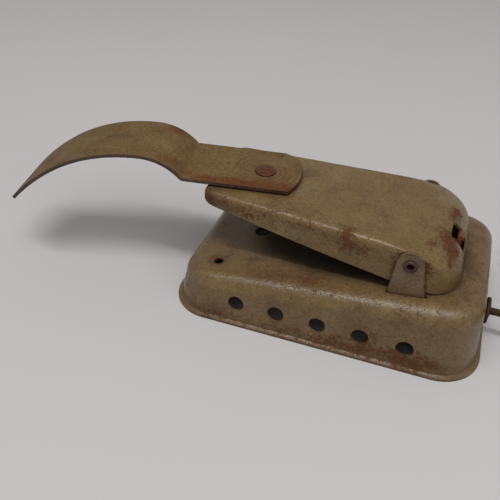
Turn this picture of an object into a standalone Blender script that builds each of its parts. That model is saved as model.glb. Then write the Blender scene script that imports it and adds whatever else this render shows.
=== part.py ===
"""Treadle speed control with a swivelling curved lever on its pedal.

A pressed wedge base on a bottom plate carries a hinge bracket, a sliding resistance and a cord.
The pedal turns on two hollow rivets, and the lever swivels on one rivet through the pedal.
Metres, +Z up, +X towards the hinge and cord end, origin under the middle of the base.
"""
import math

import bmesh
import bpy
from mathutils import Matrix, Vector

# Fits
GAP = 0.0003            # between pieces that touch on the real object
PIVOT_GAP = 0.0003      # round a pivot, on the radius
CUT = 0.0200            # how far cutters run through the sheets that they cut

# Base, a drawn steel shell
BASE_LENGTH = 0.180
BASE_WIDTH = 0.1122
BASE_CORNER = 0.0239
BASE_SHEET = 0.0012
TOP_FRONT = 0.0249      # height of the top plane at the front end
TOP_REAR = 0.0439       # height of the top plane at the rear end
TOP_FILLET = 0.0095
WALL_DRAW = 0.0049      # how far the wall leans in by the top fillet
LIP_FLARE = 0.0028
LIP_EDGE = 0.0014       # upright edge of the lip
LIP_HEIGHT = 0.0092
CORNER_DRAW = 0.35      # how fast the corner tightens as the wall leans in
VENT_RADIUS = 0.00475
VENT_HEIGHT = 0.0140
VENT_FIRST = -0.0461
VENT_PITCH = 0.0240
VENT_COUNT = 5
PILOT_RADIUS = 0.0050
SCREW_HOLE_RADIUS = 0.00275
SCREW_HOLE_X = -0.0632
SCREW_HOLE_Y = 0.0349

# Bottom plate and its fixings
PLATE_SHEET = 0.0010
LUG_LENGTH = 0.0140
LUG_REACH = 0.0125
LUG_HEIGHT = 0.0070
LUG_SHEET = 0.0016
PLATE_SCREW_HEAD = 0.0032
PLATE_SCREW_SHANK = 0.0016
PLATE_SCREW_LENGTH = 0.0060
PLATE_SCREW_INSET = 0.0075      # screw's middle in from the wall
PLATE_SCREW_SINK = 0.0001       # head above the plate's underside

# Hinge
HINGE_INSET = 0.0465    # axis in from the base's rear end
HINGE_RISE = 0.0191     # axis above the base's top
EAR_SHEET = 0.0016
EAR_FOOT = 0.0204
EAR_SHIFT = 0.0008      # the foot's middle behind the axis
EAR_TOP_RADIUS = 0.0071
EAR_CROWN = 0.0006      # the round top's centre above the axis
EYELET_TUBE = 0.0026
EYELET_WALL = 0.0007
EYELET_FLANGE = 0.0010  # the rim beyond the tube
EYELET_RIM_THICK = 0.0008
EYELET_CHAMFER = 0.0004

# Pedal, in its own frame: x back from the hinge axis, z square to its top
PEDAL_TILT = math.radians(2.0)
PEDAL_TRAVEL = math.radians(8.5)        # full press, the lever's tip just clear of the floor
PEDAL_TOP = 0.00785
PEDAL_FRONT = 0.1197
PEDAL_REAR = 0.0261
PEDAL_HALF = 0.03695    # half width at the hinge and behind it
PEDAL_TAPER = 0.0635    # loss of half width per metre towards the front
PEDAL_SHEET = 0.0012
PEDAL_FILLET = 0.0038
PEDAL_FRONT_CORNER = 0.0085
PEDAL_REAR_CORNER = 0.0151      # in the heel's lower edge
DOME_DRAW = 0.0169      # how far the domed heel leans in by the flat top
DOME_CORNER = 0.0295    # corner of the flat top over the heel
DOME_RISE = 0.0186      # height of the dome at the rear end
DOME_SPREAD = 0.65      # how soon the dome fades into the sides
PEDAL_NOSE = 0.0057     # depth under the top that the front wall leaves open
PEDAL_HEEL = -0.0150    # lower edge at the hinge
PEDAL_BOW = 0.0010      # sag of the lower edge below a straight line
HEEL_DIP_X = 0.0140
HEEL_DIP = -0.0157      # lowest point of the heel's lower edge
HEEL_END = -0.0144      # lower edge at the rear end
SLOT_X = 0.02015
SLOT_WIDTH = 0.0083
SLOT_Y = -0.0068
SLOT_LENGTH = 0.0145

# Lever, in its own frame: x back from the rivet, z square to the pedal's top
RIVET_S = 0.0914        # rivet in front of the hinge
LEVER_SWIVEL = math.radians(10.7)
LEVER_SHEET = 0.0020
LEVER_HALF = 0.0207
LEVER_OFFSET = 0.0026
LEVER_REAR = 0.0210
LEVER_REAR_ARC = 0.0390
LEVER_FLAT = 0.0450
LEVER_KICK = math.radians(49.0)
LEVER_KICK_RADIUS = 0.0320
LEVER_ARC_RADIUS = 0.1020
LEVER_ARC_LENGTH = 0.0570
LEVER_TIP_RADIUS = 0.1420
LEVER_TIP_LENGTH = 0.0465
LEVER_TIP_ARC = 0.0300
LEVER_BLUNT = 0.0012    # half width where the round ends stop
WASHER_RADIUS = 0.0090
WASHER_SHEET = 0.0005
RIVET_SHANK = 0.0030
RIVET_HEAD = 0.0061
RIVET_HEAD_HEIGHT = 0.0016
RIVET_HEAD_EDGE = 0.0005
RIVET_TAIL = 0.0052
RIVET_TAIL_HEIGHT = 0.0014

# Return spring under the pedal
SPRING_S = 0.0300
SPRING_RADIUS = 0.0070
SPRING_WIRE = 0.0009
SPRING_CURLS = 6
SPRING_POINTS = 10
SEAT_MARGIN = 0.0016    # seat beyond the spring
SEAT_SHEET = 0.0012

# Drive arm and sliding resistance
ARM_X = 0.0145          # the arm's upright leg behind the hinge
ARM_SHEET = 0.0016
ARM_WIDTH = 0.0060
ARM_Y = -0.0040
ARM_HEAD = 0.00285      # its upper end below the pedal's top
ARM_TAB = 0.0042        # its tab below the pedal's top
ARM_TAB_END = 0.0222    # rear end of the tab, behind the hinge
ARM_BELOW = 0.0030      # how far its end passes the guide rod's middle
SLIDER_HEIGHT = 0.0080
SLIDER_LENGTH = 0.0124
SLIDER_SIDE = 0.0050    # slider on each side of the guide rod's middle
SLIDER_FORK = 0.0022    # half of the fork's open width
GUIDE_RADIUS = 0.0020
GUIDE_Y = 0.0095
GUIDE_Z = 0.0110
GUIDE_PAST = 0.0030     # rod beyond each end plate
END_PLATE_SHEET = 0.0020
END_PLATE_SPAN = 0.0490         # between the middles of the end plates
END_PLATE_INSET = 0.0110        # rear plate's middle in from the base's rear end
END_PLATE_EDGE = 0.0050         # plate beyond the guide rod's middle
END_PLATE_MARGIN = 0.0018       # plate beyond the winding
RESISTOR_STEP = 0.0180          # from the guide rod to the resistance, across
RESISTOR_Z = 0.0130
RESISTOR_RADIUS = 0.0070
WINDING_SHEET = 0.0009
WINDING_MARGIN = 0.0040
BOLT_RADIUS = 0.0025
BOLT_ROOM = 0.0005      # round the bolt in the tube
BOLT_HEAD = 0.0045
BOLT_HEAD_HEIGHT = 0.0028
BRUSH_RADIUS = 0.0025
TERMINAL_LENGTH = 0.0200
TERMINAL_WIDTH = 0.0160
TERMINAL_INSET = 0.0160         # block in from the base's rear end
TERMINAL_ROOM = 0.0018          # from the fixing lug
TERMINAL_HEIGHT = 0.0110
TERMINAL_SCREW = 0.0030
TERMINAL_SCREW_HEIGHT = 0.0024
WIRE_RADIUS = 0.0008
WIRE_SPREAD = 0.0023    # between the two wires where they leave the cord
WIRE_STRAIGHT = 0.0032
WIRE_ARCH = 0.0021      # how far they part in height on the way

# Cord
CORD_RADIUS = 0.0021
CORD_Y = -0.0135
CORD_Z = 0.0202
CORD_STUB = 0.0035      # cord inside the grommet
GROMMET_FLANGE = 0.0074
GROMMET_NECK = 0.0042
GROMMET_INNER = 0.0058
GROMMET_THICK = 0.0024
GROMMET_CHAMFER = 0.0007
WALL_LEAN = 0.0010      # room for the leaning wall between the grommet's flanges
COIL_X = 0.1680
COIL_RADIUS = 0.0252    # middle of the turns
COIL_TURNS = 3.5        # in each of two layers
COIL_STEP = 0.0047      # from turn to turn and from layer to layer
COIL_POINTS = 24
TIE_SHEET = 0.0008
TIE_WIDTH = 0.0060
TIE_GAP = 0.0004
TAIL_LENGTH = 0.0220
TAIL_SHIFT = 0.0045
PLUG_RADIUS = 0.0085
PLUG_LENGTH = 0.0260
PLUG_NECK_RADIUS = 0.0038
PLUG_NECK = 0.0052
PLUG_CONE = 0.0078
PLUG_CLEAR = 0.0004     # plug above the floor
PIN_RADIUS = 0.0020
PIN_LENGTH = 0.0160
PIN_SPACING = 0.0127

SLOPE = math.atan2(TOP_REAR - TOP_FRONT, BASE_LENGTH)
REAR_END = BASE_LENGTH / 2
SIDE_WALL = BASE_WIDTH / 2 - BASE_SHEET - LIP_FLARE - GAP       # where the fixing lugs stand
LUG_X = REAR_END - BASE_CORNER - LUG_LENGTH / 2
HINGE_X = REAR_END - HINGE_INSET
END_PLATE_REAR = REAR_END - END_PLATE_INSET
END_PLATE_FRONT = END_PLATE_REAR - END_PLATE_SPAN
RESISTOR_Y = GUIDE_Y + RESISTOR_STEP
WINDING_RADIUS = RESISTOR_RADIUS + GAP + WINDING_SHEET


def base_top(x):
    """Height of the base's top plane."""
    return TOP_FRONT + (TOP_REAR - TOP_FRONT) * (x / BASE_LENGTH + 0.5)


def base_under(x):
    """Height of the underside of the base's top."""
    return base_top(x) - BASE_SHEET / math.cos(SLOPE)


def eased(share):
    """Smooth step from 0 to 1."""
    return share * share * (3 - 2 * share)


HINGE_Z = base_top(HINGE_X) + HINGE_RISE

for old in list(bpy.data.objects):
    bpy.data.objects.remove(old, do_unlink=True)

PARTS = bpy.data.collections.new("treadle_speed_control")
CUTTERS = bpy.data.collections.new("cutters")
for group in (PARTS, CUTTERS):
    bpy.context.scene.collection.children.link(group)


def finish(name, colour, roughness, metallic):
    """A plain shader for one finish."""
    material = bpy.data.materials.new(name)
    material.use_nodes = True
    shader = material.node_tree.nodes["Principled BSDF"]
    shader.inputs["Base Color"].default_value = (*colour, 1.0)
    shader.inputs["Roughness"].default_value = roughness
    shader.inputs["Metallic"].default_value = metallic
    return material


ENAMEL = finish("grey_brown_enamel", (0.24, 0.19, 0.12), 0.45, 0.0)
RUSTED = finish("rusted_steel", (0.20, 0.09, 0.05), 0.75, 0.2)
STEEL = finish("dull_steel", (0.42, 0.40, 0.37), 0.45, 0.9)
BRASS = finish("brass", (0.60, 0.46, 0.20), 0.40, 0.9)
CERAMIC = finish("ceramic", (0.80, 0.77, 0.70), 0.55, 0.0)
MOULDED = finish("moulded_black", (0.03, 0.028, 0.025), 0.40, 0.0)
RUBBER = finish("dark_rubber", (0.07, 0.07, 0.065), 0.70, 0.0)
CORD = finish("cord_cover", (0.17, 0.13, 0.09), 0.80, 0.0)
CARBON = finish("carbon", (0.03, 0.03, 0.03), 0.60, 0.0)


def frame(name, location, turn, parent=None):
    """An empty on a joint's axis, which carries the pieces that turn about it."""
    empty = bpy.data.objects.new(name, None)
    PARTS.objects.link(empty)
    empty.location = location
    empty.rotation_euler = turn
    empty.parent = parent
    return empty


def place(name, mesh, material, parent=None):
    """Makes the named piece from a mesh, shaded smooth with sharp corners."""
    piece = bpy.data.objects.new(name, mesh)
    mesh.name = name
    mesh.materials.clear()
    mesh.materials.append(material)
    mesh.shade_smooth()
    mesh.set_sharp_from_angle(angle=math.radians(35))
    PARTS.objects.link(piece)
    piece.parent = parent
    return piece


def evaluated(data, modifier=None):
    """The mesh that a curve, or a mesh with one modifier, gives, with its seams welded."""
    guide = bpy.data.objects.new("guide", data)
    bpy.context.scene.collection.objects.link(guide)
    if modifier:
        modifier(guide)
    graph = bpy.context.evaluated_depsgraph_get()
    mesh = bpy.data.meshes.new_from_object(guide.evaluated_get(graph))
    bpy.data.objects.remove(guide)
    shape = bmesh.new()
    shape.from_mesh(mesh)
    bmesh.ops.remove_doubles(shape, verts=shape.verts, dist=1e-6)
    bmesh.ops.recalc_face_normals(shape, faces=shape.faces)
    shape.to_mesh(mesh)
    shape.free()
    return mesh


def poly(data, points, cyclic):
    """Adds one straight-sided spline to a curve."""
    spline = data.splines.new("POLY")
    spline.points.add(len(points) - 1)
    for point, place_at in zip(spline.points, points):
        point.co = (*place_at, 0.0, 1.0) if len(place_at) == 2 else (*place_at, 1.0)
    spline.use_cyclic_u = cyclic


UPRIGHT_ALONG = Matrix.Rotation(math.pi / 2, 4, "X")
UPRIGHT_ACROSS = Matrix(((0, 0, 1, 0), (1, 0, 0, 0), (0, 1, 0, 0), (0, 0, 0, 1)))
FLAT = Matrix.Identity(4)


def sheet(outlines, thickness, middle=0.0, plane=FLAT):
    """A flat piece from its outline and holes; middle is where its mid-plane lies on the plane's normal."""
    data = bpy.data.curves.new("outline", "CURVE")
    data.dimensions = "2D"
    data.fill_mode = "BOTH"
    data.extrude = thickness / 2
    for outline in outlines:
        poly(data, outline, True)
    mesh = evaluated(data)
    mesh.transform(plane @ Matrix.Translation((0, 0, middle)))
    return mesh


def tube(points, radius, resolution=2):
    """A round tube with closed ends through the points."""
    data = bpy.data.curves.new("route", "CURVE")
    data.dimensions = "3D"
    data.bevel_depth = radius
    data.bevel_resolution = resolution
    data.use_fill_caps = True
    poly(data, points, False)
    return evaluated(data)


def turned(profile, steps, closed=False):
    """Turns a profile of (radius, height) points about Z; a closed profile makes a ring."""
    data = bpy.data.meshes.new("profile")
    edges = [(i, i + 1) for i in range(len(profile) - 1)]
    if closed:
        edges.append((len(profile) - 1, 0))
    data.from_pydata([(r, 0, z) for r, z in profile], edges, [])

    def spin(guide):
        screw = guide.modifiers.new("turn", "SCREW")
        screw.steps = steps
        screw.render_steps = steps
        screw.use_merge_vertices = True
        screw.merge_threshold = 0.00001
    return evaluated(data, spin)


def arc(centre, radius, start, end, steps):
    """Points on an arc, in degrees."""
    turns = [math.radians(start + (end - start) * k / steps) for k in range(steps + 1)]
    return [(centre[0] + radius * math.cos(t), centre[1] + radius * math.sin(t)) for t in turns]


def circle(centre, radius, steps=20):
    return arc(centre, radius, 0, 360, steps)[:-1]


def box_outline(x0, x1, y0, y1):
    return [(x0, y0), (x1, y0), (x1, y1), (x0, y1)]


def rounded_box(half_x, half_y, radius, steps=7):
    """Outline of a rectangle with round corners, centred on the origin."""
    x = half_x - radius
    y = half_y - radius
    corners = ((x, y, 0), (-x, y, 90), (-x, -y, 180), (x, -y, 270))
    return [p for cx, cy, a in corners for p in arc((cx, cy), radius, a, a + 90, steps)]


def joined(meshes):
    """Several closed bodies as one mesh."""
    shape = bmesh.new()
    for mesh in meshes:
        shape.from_mesh(mesh)
    mesh = bpy.data.meshes.new("joined")
    shape.to_mesh(mesh)
    shape.free()
    return mesh


def moved(mesh, offset, turn=FLAT):
    mesh.transform(Matrix.Translation(offset) @ turn)
    return mesh


ALONG_X = Matrix.Rotation(math.pi / 2, 4, "Y")
ALONG_Y = Matrix.Rotation(-math.pi / 2, 4, "X")


def cylinder(radius, length, centre, turn=FLAT, steps=20):
    shape = bmesh.new()
    bmesh.ops.create_cone(shape, cap_ends=True, segments=steps, radius1=radius, radius2=radius, depth=length)
    mesh = bpy.data.meshes.new("cylinder")
    shape.to_mesh(mesh)
    shape.free()
    return moved(mesh, centre, turn)


def combine(piece, meshes, operation, name, parent=None):
    """A Boolean of a piece with other closed bodies."""
    cutter = bpy.data.objects.new(name, joined(meshes))
    CUTTERS.objects.link(cutter)
    cutter.parent = parent
    cutter.hide_render = True
    cutter.display_type = "WIRE"
    step = piece.modifiers.new(name, "BOOLEAN")
    step.operation = operation
    step.solver = "EXACT"
    step.object = cutter


def loft(rings, name):
    """Joins rings of points, lowest first, and closes both ends."""
    shape = bmesh.new()
    rows = [[shape.verts.new(p) for p in ring] for ring in rings]
    count = len(rows[0])
    for low, high in zip(rows, rows[1:]):
        for i in range(count):
            j = (i + 1) % count
            shape.faces.new((low[i], low[j], high[j], high[i]))
    shape.faces.new(rows[0][::-1])
    shape.faces.new(rows[-1])
    bmesh.ops.recalc_face_normals(shape, faces=shape.faces)
    mesh = bpy.data.meshes.new(name)
    shape.to_mesh(mesh)
    shape.free()
    return mesh


def base_corner(inset):
    return BASE_CORNER - CORNER_DRAW * inset


def base_ring(inset, height, from_top):
    """One ring round the base's wall, level or following the sloping top."""
    outline = rounded_box(BASE_LENGTH / 2 - inset, BASE_WIDTH / 2 - inset, base_corner(inset))
    return [(x, y, base_top(x) - height if from_top else height) for x, y in outline]


def wall_inset(height):
    """How far the rear wall's outside lies in from the lip at a height."""
    top = base_top(REAR_END - WALL_DRAW) - TOP_FILLET
    return LIP_FLARE + (WALL_DRAW - LIP_FLARE) * (height - LIP_HEIGHT) / (top - LIP_HEIGHT)


def make_base():
    """Drawn shell: flared lip, leaning wall, round shoulder and a sloping top, open below."""
    def skin(offset):
        rings = [base_ring(offset, 0.0, False), base_ring(offset, LIP_EDGE, False)]
        for k in range(1, 5):
            share = k / 4
            height = LIP_EDGE + (LIP_HEIGHT - LIP_EDGE) * share
            rings.append(base_ring(LIP_FLARE * eased(share) + offset, height, False))
        fillet = TOP_FILLET - offset
        for k in range(6):
            turn = math.radians(90 * k / 5)
            inset = WALL_DRAW + offset + fillet * (1 - math.cos(turn))
            rings.append(base_ring(inset, offset + fillet * (1 - math.sin(turn)), True))
        return rings
    inner = skin(BASE_SHEET)
    rings = inner[::-1] + skin(0.0)
    base = place("base_housing", loft(rings, "base_housing"), ENAMEL)
    holes = []
    for k in range(VENT_COUNT):
        centre = (VENT_FIRST + k * VENT_PITCH, 0, VENT_HEIGHT)
        holes.append(cylinder(VENT_RADIUS, BASE_WIDTH + CUT, centre, ALONG_Y))
    rivet_x = HINGE_X - RIVET_S * math.cos(PEDAL_TILT)
    holes.append(cylinder(PILOT_RADIUS, CUT, (rivet_x, 0, base_top(rivet_x)), steps=24))
    for side in (-1, 1):
        centre = (SCREW_HOLE_X, side * SCREW_HOLE_Y, base_top(SCREW_HOLE_X))
        holes.append(cylinder(SCREW_HOLE_RADIUS, CUT, centre))
    wall_x = REAR_END - wall_inset(CORD_Z)
    holes.append(cylinder(GROMMET_NECK + GAP, CUT, (wall_x, CORD_Y, CORD_Z), ALONG_X, 24))
    combine(base, holes, "DIFFERENCE", "base_round_holes")
    slots = []
    for side in (-1, 1):
        outline = box_outline(*ear_foot_x(GAP), *sorted(side * y for y in ear_span(GAP)))
        slots.append(sheet([outline], CUT, base_top(HINGE_X)))
    room = ARM_SHEET / 2 + 2 * GAP
    side = ARM_WIDTH / 2 + 2 * GAP
    up = arm_x(base_top(HINGE_X + ARM_X), PEDAL_TILT) - room
    down = arm_x(base_under(HINGE_X + ARM_X), PEDAL_TILT - PEDAL_TRAVEL) + room
    slots.append(sheet([box_outline(up, down, ARM_Y - side, ARM_Y + side)], CUT, base_top(up)))
    combine(base, slots, "DIFFERENCE", "base_slots")


def arm_x(z, tilt):
    """Middle of the drive arm's upright leg at a height, at a tilt of the pedal."""
    along = (z - HINGE_Z + ARM_X * math.sin(tilt)) / math.cos(tilt)
    return HINGE_X + ARM_X * math.cos(tilt) + along * math.sin(tilt)


def pedal_half(s):
    """Half width of the pedal, s in front of the hinge."""
    return PEDAL_HALF - PEDAL_TAPER * max(0.0, s)


def ear_span(clearance=0.0):
    """Inner and outer face of an ear, as distances from the middle."""
    inner = PEDAL_HALF + GAP
    return (inner - clearance, inner + EAR_SHEET + clearance)


def ear_foot_x(clearance=0.0):
    middle = HINGE_X + EAR_SHIFT
    return (middle - EAR_FOOT / 2 - clearance, middle + EAR_FOOT / 2 + clearance)


def make_hinge():
    """Strap under the base's top with two ears that come up through it, and the hollow pivot rivets."""
    front, rear = ear_foot_x()
    upper = [base_under(x) - GAP for x in (front, rear)]
    strap = [(front, upper[0]), (rear, upper[1]), (rear, upper[1] - EAR_SHEET), (front, upper[0] - EAR_SHEET)]
    half = ear_span()[1]
    bracket = place("hinge_bracket", sheet([strap], 2 * half, 0, UPRIGHT_ALONG), ENAMEL)
    crown = (HINGE_X, HINGE_Z + EAR_CROWN)
    ear = [(front, upper[0] - EAR_SHEET / 2), (rear, upper[1] - EAR_SHEET / 2)]
    ear += arc(crown, EAR_TOP_RADIUS, 11, 173, 12)
    pivot = circle((HINGE_X, HINGE_Z), EYELET_TUBE + PIVOT_GAP / 2)
    middle = (ear_span()[0] + half) / 2
    ears = [sheet([ear, pivot], EAR_SHEET, side * middle, UPRIGHT_ALONG) for side in (-1, 1)]
    combine(bracket, ears, "UNION", "bracket_ears")
    outer = half + GAP
    bore = EYELET_TUBE - EYELET_WALL
    rim = EYELET_TUBE + EYELET_FLANGE
    inner = pedal_half(rim) - PEDAL_SHEET - GAP
    end = outer + EYELET_RIM_THICK
    profile = [(bore, end), (rim - EYELET_CHAMFER, end), (rim, end - EYELET_CHAMFER), (rim, outer),
               (EYELET_TUBE, outer), (EYELET_TUBE, inner), (rim, inner), (rim, inner - EYELET_RIM_THICK),
               (bore, inner - EYELET_RIM_THICK)]
    for name, turn in (("eyelet_near", math.pi / 2), ("eyelet_far", -math.pi / 2)):
        mesh = moved(turned(profile, 20, True), (HINGE_X, 0, HINGE_Z), Matrix.Rotation(turn, 4, "X"))
        place(name, mesh, RUSTED)


def mirrored(run):
    """A run of values along one side, nose to rear, and back along the other side."""
    return run + run[::-1]


def pedal_outline(offset, rear, corner):
    """Plan of the pedal, drawn in by an offset: tapered sides, small front and large rear corners."""
    lean = math.degrees(math.atan(PEDAL_TAPER))
    front = PEDAL_FRONT - offset
    small = PEDAL_FRONT_CORNER - offset
    middle = rear - corner
    side = min(0.0, middle - PEDAL_FRONT_CORNER)
    run = arc((small - front, pedal_half(front) - offset - small), small, 180, 90 + lean, 5)
    run.append((side, pedal_half(-side) - offset))
    start = 90 if middle > 0 else 90 + lean
    run += arc((middle, pedal_half(-middle) - offset - corner), corner, start, 0, 8)
    half = len(run)
    return [(x, y if k < half else -y) for k, (x, y) in enumerate(mirrored(run))]


def pedal_rises():
    """Height of the rounding at each point of the pedal's outline: small in front, a dome at the heel."""
    run = [PEDAL_FILLET] * 7
    for k in range(9):
        share = math.sin(math.radians(90 * k / 8)) ** DOME_SPREAD
        run.append(PEDAL_FILLET + (DOME_RISE - PEDAL_FILLET) * share)
    return mirrored(run)


def pedal_lower(s):
    """Lower edge of the pedal's side, s in front of the hinge."""
    share = s / PEDAL_FRONT
    nose = PEDAL_TOP - PEDAL_NOSE - PEDAL_SHEET
    return PEDAL_HEEL + (nose - PEDAL_HEEL) * share - 4 * PEDAL_BOW * share * (1 - share)


def make_pedal(axis):
    """Pressed tray upside down: flat top, soft edges, a domed heel, sides that deepen towards the hinge."""
    low = PEDAL_HEEL - CUT

    def tray(offset):
        lower = pedal_outline(offset, PEDAL_REAR - offset, PEDAL_REAR_CORNER - offset)
        upper = pedal_outline(PEDAL_FILLET, PEDAL_REAR - DOME_DRAW, DOME_CORNER)
        rings = [[(x, y, low - offset) for x, y in lower]]
        for k in range(7):
            turn = math.radians(15 * k)
            share = 1 - math.cos(turn)
            ring = []
            for (x, y), (to_x, to_y), rise in zip(lower, upper, pedal_rises()):
                height = PEDAL_TOP - offset - (rise - offset) * (1 - math.sin(turn))
                ring.append((x + (to_x - x) * share, y + (to_y - y) * share, height))
            rings.append(ring)
        return loft(rings, "tray")
    pedal = place("pedal", tray(0.0), ENAMEL, axis)
    combine(pedal, [tray(PEDAL_SHEET)], "DIFFERENCE", "pedal_hollow", axis)
    far = PEDAL_FRONT + CUT
    below = [(-far, low - CUT), (far, low - CUT), (far, HEEL_END), (PEDAL_REAR, HEEL_END)]
    below += [(HEEL_DIP_X, HEEL_DIP)]
    below += [(-s * PEDAL_FRONT / 8, pedal_lower(s * PEDAL_FRONT / 8)) for s in range(9)]
    below += [(-far, pedal_lower(PEDAL_FRONT))]
    across = 2 * PEDAL_HALF + CUT
    trim = sheet([below], across, 0, UPRIGHT_ALONG)
    combine(pedal, [trim], "DIFFERENCE", "pedal_lower_edge", axis)
    pivots = cylinder(EYELET_TUBE + PIVOT_GAP, across, (0, 0, 0), ALONG_Y)
    rivet = cylinder(RIVET_SHANK + PIVOT_GAP, CUT, (-RIVET_S, 0, PEDAL_TOP))
    slot = box_outline(SLOT_X - SLOT_WIDTH / 2, SLOT_X + SLOT_WIDTH / 2,
                       SLOT_Y - SLOT_LENGTH / 2, SLOT_Y + SLOT_LENGTH / 2)
    cut = sheet([slot], 2 * CUT, PEDAL_TOP)
    combine(pedal, [pivots, rivet, cut], "DIFFERENCE", "pedal_holes", axis)


def make_drive_arm(axis):
    """Strip welded under the pedal's top: its tab shows in the heel's slot, its end drives the slider."""
    head = PEDAL_TOP - ARM_HEAD
    tab = PEDAL_TOP - ARM_TAB
    front = ARM_X - ARM_SHEET / 2
    rear = ARM_X + ARM_SHEET / 2
    end = GUIDE_Z - ARM_BELOW - HINGE_Z
    outline = [(front, end), (rear, end), (rear, tab - ARM_SHEET), (ARM_TAB_END, tab - ARM_SHEET),
               (ARM_TAB_END, tab), (rear, tab), (rear, head), (front, head)]
    place("drive_arm", sheet([outline], ARM_WIDTH, -ARM_Y, UPRIGHT_ALONG), RUSTED, axis)


def lever_section(length):
    """Place, height and slope of the strip's top at a length from the rivet, along the strip."""
    if length <= LEVER_FLAT:
        return (length, 0.0, 0.0)
    rest = length - LEVER_FLAT
    place_at = LEVER_FLAT
    height = 0.0
    slope = LEVER_KICK
    bends = ((LEVER_KICK_RADIUS, LEVER_KICK_RADIUS * LEVER_KICK), (LEVER_ARC_RADIUS, LEVER_ARC_LENGTH),
             (LEVER_TIP_RADIUS, LEVER_TIP_LENGTH))
    for radius, run in bends:
        step = min(rest, run)
        end = slope - step / radius
        place_at += radius * (math.sin(slope) - math.sin(end))
        height += radius * (math.cos(end) - math.cos(slope))
        slope = end
        rest -= step
    return (place_at, height, slope)


def round_end(radius, steps=6):
    """Depth from the tip and half width along a round end of the lever."""
    first = math.asin(LEVER_BLUNT / radius)
    last = math.asin(LEVER_HALF / radius)
    turns = [first + (last - first) * k / steps for k in range(steps + 1)]
    return [(radius * (1 - math.cos(t)), radius * math.sin(t)) for t in turns]


def make_lever(axis):
    """Steel strip: flat at the rivet, kicked up in front of the pedal, then curved down to a round tip."""
    total = LEVER_FLAT + LEVER_KICK_RADIUS * LEVER_KICK + LEVER_ARC_LENGTH + LEVER_TIP_LENGTH
    stations = [(into - LEVER_REAR, half) for into, half in round_end(LEVER_REAR_ARC)]
    stations += [(0.0, LEVER_HALF), (LEVER_FLAT - LEVER_SHEET, LEVER_HALF)]
    tip = round_end(LEVER_TIP_ARC)
    start = LEVER_FLAT + LEVER_SHEET
    end = total - tip[-1][0]
    stations += [(start + (end - start) * k / 22, LEVER_HALF) for k in range(23)]
    stations += [(total - into, half) for into, half in tip[-2::-1]]
    rings = []
    for length, half in stations:
        x, z, slope = lever_section(length)
        across = Vector((math.sin(slope), 0, math.cos(slope)))
        top = Vector((-x, LEVER_OFFSET, z))
        low = top - across * LEVER_SHEET
        side = Vector((0, half, 0))
        rings.append([top + side, top - side, low - side, low + side])
    lever = place("lever", loft(rings, "lever"), ENAMEL, axis)
    hole = cylinder(RIVET_SHANK + PIVOT_GAP, CUT, (0, 0, 0))
    combine(lever, [hole], "DIFFERENCE", "lever_hole", axis)


def make_rivet(axis, lever_top):
    """Rivet through lever, washer and pedal; heights are in the pedal's frame."""
    under_head = lever_top + GAP
    under_pedal = PEDAL_TOP - PEDAL_SHEET - GAP
    edge = under_head + RIVET_HEAD_EDGE
    crown = RIVET_HEAD_HEIGHT - RIVET_HEAD_EDGE
    turns = [math.radians(18 * k) for k in range(6)]
    dome = [(RIVET_HEAD * math.sin(t), edge + crown * math.cos(t)) for t in turns]
    profile = dome + [(RIVET_HEAD, under_head), (RIVET_SHANK, under_head), (RIVET_SHANK, under_pedal),
                      (RIVET_TAIL, under_pedal), (RIVET_TAIL, under_pedal - RIVET_TAIL_HEIGHT),
                      (0.0, under_pedal - RIVET_TAIL_HEIGHT)]
    place("lever_rivet", moved(turned(profile, 28), (-RIVET_S, 0, 0)), RUSTED, axis)
    middle = (PEDAL_TOP + lever_top - LEVER_SHEET) / 2
    ring = [circle((-RIVET_S, 0), WASHER_RADIUS, 24), circle((-RIVET_S, 0), RIVET_SHANK + PIVOT_GAP)]
    place("lever_washer", sheet(ring, WASHER_SHEET, middle), STEEL, axis)


def make_spring():
    """Cupped seat on the base's top and the compression spring that lifts the pedal."""
    x = HINGE_X - SPRING_S
    tilt = Matrix.Rotation(-SLOPE, 4, "Y")
    reach = SPRING_RADIUS + SPRING_WIRE
    seat = [circle((0, 0), reach + SEAT_MARGIN, 24)]
    seat_middle = base_top(x) + GAP + SEAT_SHEET / 2
    place("spring_seat", moved(sheet(seat, SEAT_SHEET), (x, 0, seat_middle), tilt), STEEL)
    low = seat_middle + SEAT_SHEET / 2 + reach * math.tan(SLOPE) + GAP + SPRING_WIRE
    under = HINGE_Z + (PEDAL_TOP - PEDAL_SHEET) * math.cos(PEDAL_TILT)
    high = under + (SPRING_S - reach) * math.sin(PEDAL_TILT) - GAP - SPRING_WIRE
    points = []
    for k in range(SPRING_CURLS * SPRING_POINTS + 1):
        turn = 2 * math.pi * k / SPRING_POINTS
        rise = low + (high - low) * k / (SPRING_CURLS * SPRING_POINTS)
        points.append((x + SPRING_RADIUS * math.cos(turn), SPRING_RADIUS * math.sin(turn), rise))
    print("return spring gap between curls", round((high - low) / SPRING_CURLS - 2 * SPRING_WIRE, 5))
    place("return_spring", tube(points, SPRING_WIRE, 1), STEEL)


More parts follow.
